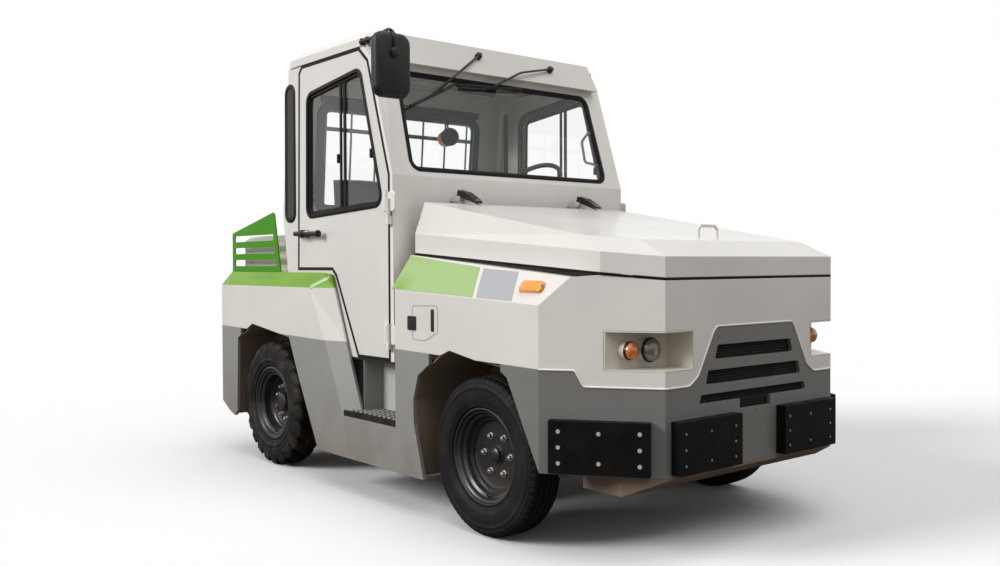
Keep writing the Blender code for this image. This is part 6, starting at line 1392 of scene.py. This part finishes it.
def add_cushion(bm, centre, size, lean):
    """A padded block with domed faces, side bolsters and pressed seams."""
    wide, deep, thick = (value / 2 for value in size)
    place = Matrix.Translation(centre) @ Matrix.Rotation(lean, 4, "X")
    steps = 28
    shares = [2 * k / steps - 1 for k in range(steps + 1)]
    grids = []
    for sign in (1, -1):
        rows = []
        for v in shares:
            row = []
            for u in shares:
                edge = (1 - abs(u) ** 5) * (1 - abs(v) ** 5)
                height = thick * edge ** 0.38 * 0.84
                if sign > 0:
                    bolster = 0.16 * thick * (abs(u) > 0.62) * (1 - abs(v) ** 4)
                    seam = 0.10 * thick * max(0.0, 1 - abs(abs(u) - 0.60) * 16)
                    seam += 0.07 * thick * max(0.0, 1 - abs(abs(v) - 0.33) * 14) * (abs(u) < 0.6)
                    height += (bolster - seam) * edge
                flat = (wide * u * (1 - 0.03 * v * v), deep * v * (1 - 0.03 * u * u))
                row.append(place @ Vector((*flat, sign * height)))
            rows.append(row)
        grids.append(rows)
    add_sheets(bm, grids)


def build_controls():
    """Steering wheel with its spokes and its boss."""
    centre = Matrix.Translation(spot_at(SEAT_SPREAD, *STEERING_PLACE)) @ Matrix.Rotation(-pi / 5, 4, "X")
    bm = bmesh.new()
    turns = [2 * pi * k / 16 for k in range(16)]
    grip = [(STEERING_RADIUS + GRIP_RADIUS * cos(a), GRIP_RADIUS * sin(a)) for a in turns]
    add_lathe(bm, grip, centre, 96, loop=True)
    for k in range(3):
        angle = 2 * pi * k / 3 + pi / 2
        rim_end = Vector((0.188 * cos(angle), 0.188 * sin(angle), 0.0))
        middle = Vector((0.105 * cos(angle), 0.105 * sin(angle), -0.020))
        add_bar(bm, bent([centre @ Vector((0, 0, -0.022)), centre @ middle, centre @ rim_end], 0.03), 0.011, 12, 0.6)
    boss = [(0.005, 0.004), (0.030, 0.002), (0.040, -0.006), (0.042, -0.030), (0.028, -0.045), (0.028, -0.335)]
    add_lathe(bm, boss, centre, 40)
    wheel = piece("steering_wheel_rim", bm, "black plastic", angle=40.0)
    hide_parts("steering_wheel")


# Floor, lights and camera


def build_stage(scene):
    """Pale floor, soft lights, white surroundings and the photograph's camera."""
    settings = scene.tractor_stage
    bpy.ops.mesh.primitive_circle_add(vertices=96, radius=60.0, fill_type="NGON", location=(0, 0, -0.0005))
    floor = bpy.context.active_object
    floor.name = "floor"
    look, seen = surface("floor white", settings.floor, 0.9, sheen=0.0)
    cast = add_node(look, "ShaderNodeBsdfDiffuse")
    cast.inputs["Color"].default_value = (*settings.bounce, 1.0)
    ray = add_node(look, "ShaderNodeLightPath").outputs
    direct = combine(look, "MAXIMUM", ray["Is Camera Ray"], ray["Is Transmission Ray"])
    output = look.node_tree.nodes["Material Output"].inputs["Surface"]
    choose_shader(look, direct, cast.outputs["BSDF"], seen.outputs["BSDF"], output)
    floor.data.materials.append(look)

    world = bpy.data.worlds.new("white room")
    scene.world = world
    world.use_nodes = True
    world.node_tree.nodes.clear()
    cast, seen = (add_node(world, "ShaderNodeBackground", Color=(1.0, 1.0, 1.0, 1.0), Strength=strength)
                  for strength in (settings.fill, 1.0))
    ray = add_node(world, "ShaderNodeLightPath").outputs
    mirrored = combine(world, "MAXIMUM", ray["Is Glossy Ray"], ray["Is Transmission Ray"])
    direct = combine(world, "MAXIMUM", ray["Is Camera Ray"], mirrored)
    output = add_node(world, "ShaderNodeOutputWorld").inputs["Surface"]
    choose_shader(world, direct, cast.outputs["Background"], seen.outputs["Background"], output)

    lamps = (
        # name, strength, where it comes from, how broad it is
        ("side light", settings.key, (-0.631, 0.273, 0.360), 25.0),
        ("overhead light", settings.overhead, (0.0, -0.205, 0.430), 60.0),
    )
    for name, strength, source, breadth in lamps:
        lamp = bpy.data.lights.new(name, "SUN")
        lamp.energy = strength
        lamp.angle = radians(breadth)
        holder = bpy.data.objects.new(name, lamp)
        scene.collection.objects.link(holder)
        holder.rotation_euler = Vector(source).to_track_quat("Z", "Y").to_euler()

    ahead = Vector((sin(CAMERA_HEADING) * cos(CAMERA_DIP), cos(CAMERA_HEADING) * cos(CAMERA_DIP), -sin(CAMERA_DIP)))
    right = Vector((cos(CAMERA_HEADING), -sin(CAMERA_HEADING), 0))
    rise = right.cross(ahead)
    rolled = right * cos(CAMERA_ROLL) + rise * sin(CAMERA_ROLL)
    lifted = rise * cos(CAMERA_ROLL) - right * sin(CAMERA_ROLL)
    lens_data = bpy.data.cameras.new("photograph")
    lens_data.sensor_width = SENSOR_WIDTH
    lens_data.lens = FOCAL_PIXELS * SENSOR_WIDTH / PHOTO_SIZE[0]
    lens_data.clip_end = 200.0
    camera = bpy.data.objects.new("photograph", lens_data)
    scene.collection.objects.link(camera)
    camera.matrix_world = Matrix.Translation(CAMERA_PLACE) @ Matrix((rolled, lifted, -ahead)).transposed().to_4x4()
    scene.camera = camera
    scene.view_settings.view_transform = "Standard"


# Operators and panel


class TRACTOR_OT_looks(bpy.types.Operator):
    """Makes the materials and gives every CAD node its own"""
    bl_idname = "tractor.looks"
    bl_label = "Paint the frame"

    def execute(self, context):
        make_looks(context.scene)
        finish_nodes()
        return {"FINISHED"}


class TRACTOR_OT_wheels(bpy.types.Operator):
    """Builds the four tyres and rims"""
    bl_idname = "tractor.wheels"
    bl_label = "Wheels"

    def execute(self, context):
        build_wheels(context.scene)
        return {"FINISHED"}


class TRACTOR_OT_doors(bpy.types.Operator):
    """Builds the window gaskets, the door seals and the door handles"""
    bl_idname = "tractor.doors"
    bl_label = "Windows and doors"

    def execute(self, context):
        build_gaskets(context.scene)
        build_door_fittings()
        return {"FINISHED"}


class TRACTOR_OT_wipers(bpy.types.Operator):
    """Builds the wipers and the mirror"""
    bl_idname = "tractor.wipers"
    bl_label = "Wipers and mirror"

    def execute(self, context):
        build_wipers()
        build_mirror()
        return {"FINISHED"}


class TRACTOR_OT_lamps(bpy.types.Operator):
    """Builds the lamps' bezels and lenses"""
    bl_idname = "tractor.lamps"
    bl_label = "Lamps"

    def execute(self, context):
        build_lamps()
        return {"FINISHED"}


class TRACTOR_OT_trim(bpy.types.Operator):
    """Builds the stripes, the charging flap, the hood's brackets, the pads' bolts, the grille's mesh and the steps"""
    bl_idname = "tractor.trim"
    bl_label = "Body trim"

    def execute(self, context):
        build_stripes()
        build_charge_flap()
        build_hood_fittings()
        build_pad_bolts(context.scene)
        build_grille(context.scene)
        build_nose_lip()
        build_steps()
        return {"FINISHED"}


class TRACTOR_OT_cab(bpy.types.Operator):
    """Builds the cab's linings, the padded seats and the steering wheel"""
    bl_idname = "tractor.cab"
    bl_label = "Inside the cab"

    def execute(self, context):
        build_linings()
        build_seats()
        build_controls()
        return {"FINISHED"}


class TRACTOR_OT_stage(bpy.types.Operator):
    """Sets the floor, the lights and the camera"""
    bl_idname = "tractor.stage"
    bl_label = "Stage"

    def execute(self, context):
        build_stage(context.scene)
        return {"FINISHED"}


STEPS = (
    TRACTOR_OT_looks, TRACTOR_OT_wheels, TRACTOR_OT_doors, TRACTOR_OT_wipers, TRACTOR_OT_lamps, TRACTOR_OT_trim,
    TRACTOR_OT_cab, TRACTOR_OT_stage,
)
SETTINGS = {
    "tractor_paint": PaintSettings,
    "tractor_tyres": TyreSettings,
    "tractor_trim": TrimSettings,
    "tractor_stage": StageSettings,
}


class TRACTOR_PT_looks(bpy.types.Panel):
    """Settings and steps of the tractor's looks"""
    bl_label = "Tractor"
    bl_idname = "TRACTOR_PT_looks"
    bl_space_type = "VIEW_3D"
    bl_region_type = "UI"
    bl_category = "Tractor"

    def draw(self, context):
        for holder, kind in SETTINGS.items():
            box = self.layout.box()
            for name in kind.__annotations__:
                box.prop(getattr(context.scene, holder), name)
        for step in STEPS:
            self.layout.operator(step.bl_idname)


def register():
    for holder, kind in SETTINGS.items():
        bpy.utils.register_class(kind)
        setattr(bpy.types.Scene, holder, bpy.props.PointerProperty(type=kind))
    for kind in (*STEPS, TRACTOR_PT_looks):
        bpy.utils.register_class(kind)


def unregister():
    for kind in reversed((*STEPS, TRACTOR_PT_looks)):
        bpy.utils.unregister_class(kind)
    for holder, kind in SETTINGS.items():
        delattr(bpy.types.Scene, holder)
        bpy.utils.unregister_class(kind)


def main():
    register()
    bpy.ops.tractor.looks()
    bpy.ops.tractor.wheels()
    bpy.ops.tractor.doors()
    bpy.ops.tractor.wipers()
    bpy.ops.tractor.lamps()
    bpy.ops.tractor.trim()
    bpy.ops.tractor.cab()
    bpy.ops.tractor.stage()


if __name__ == "__main__":
    main()
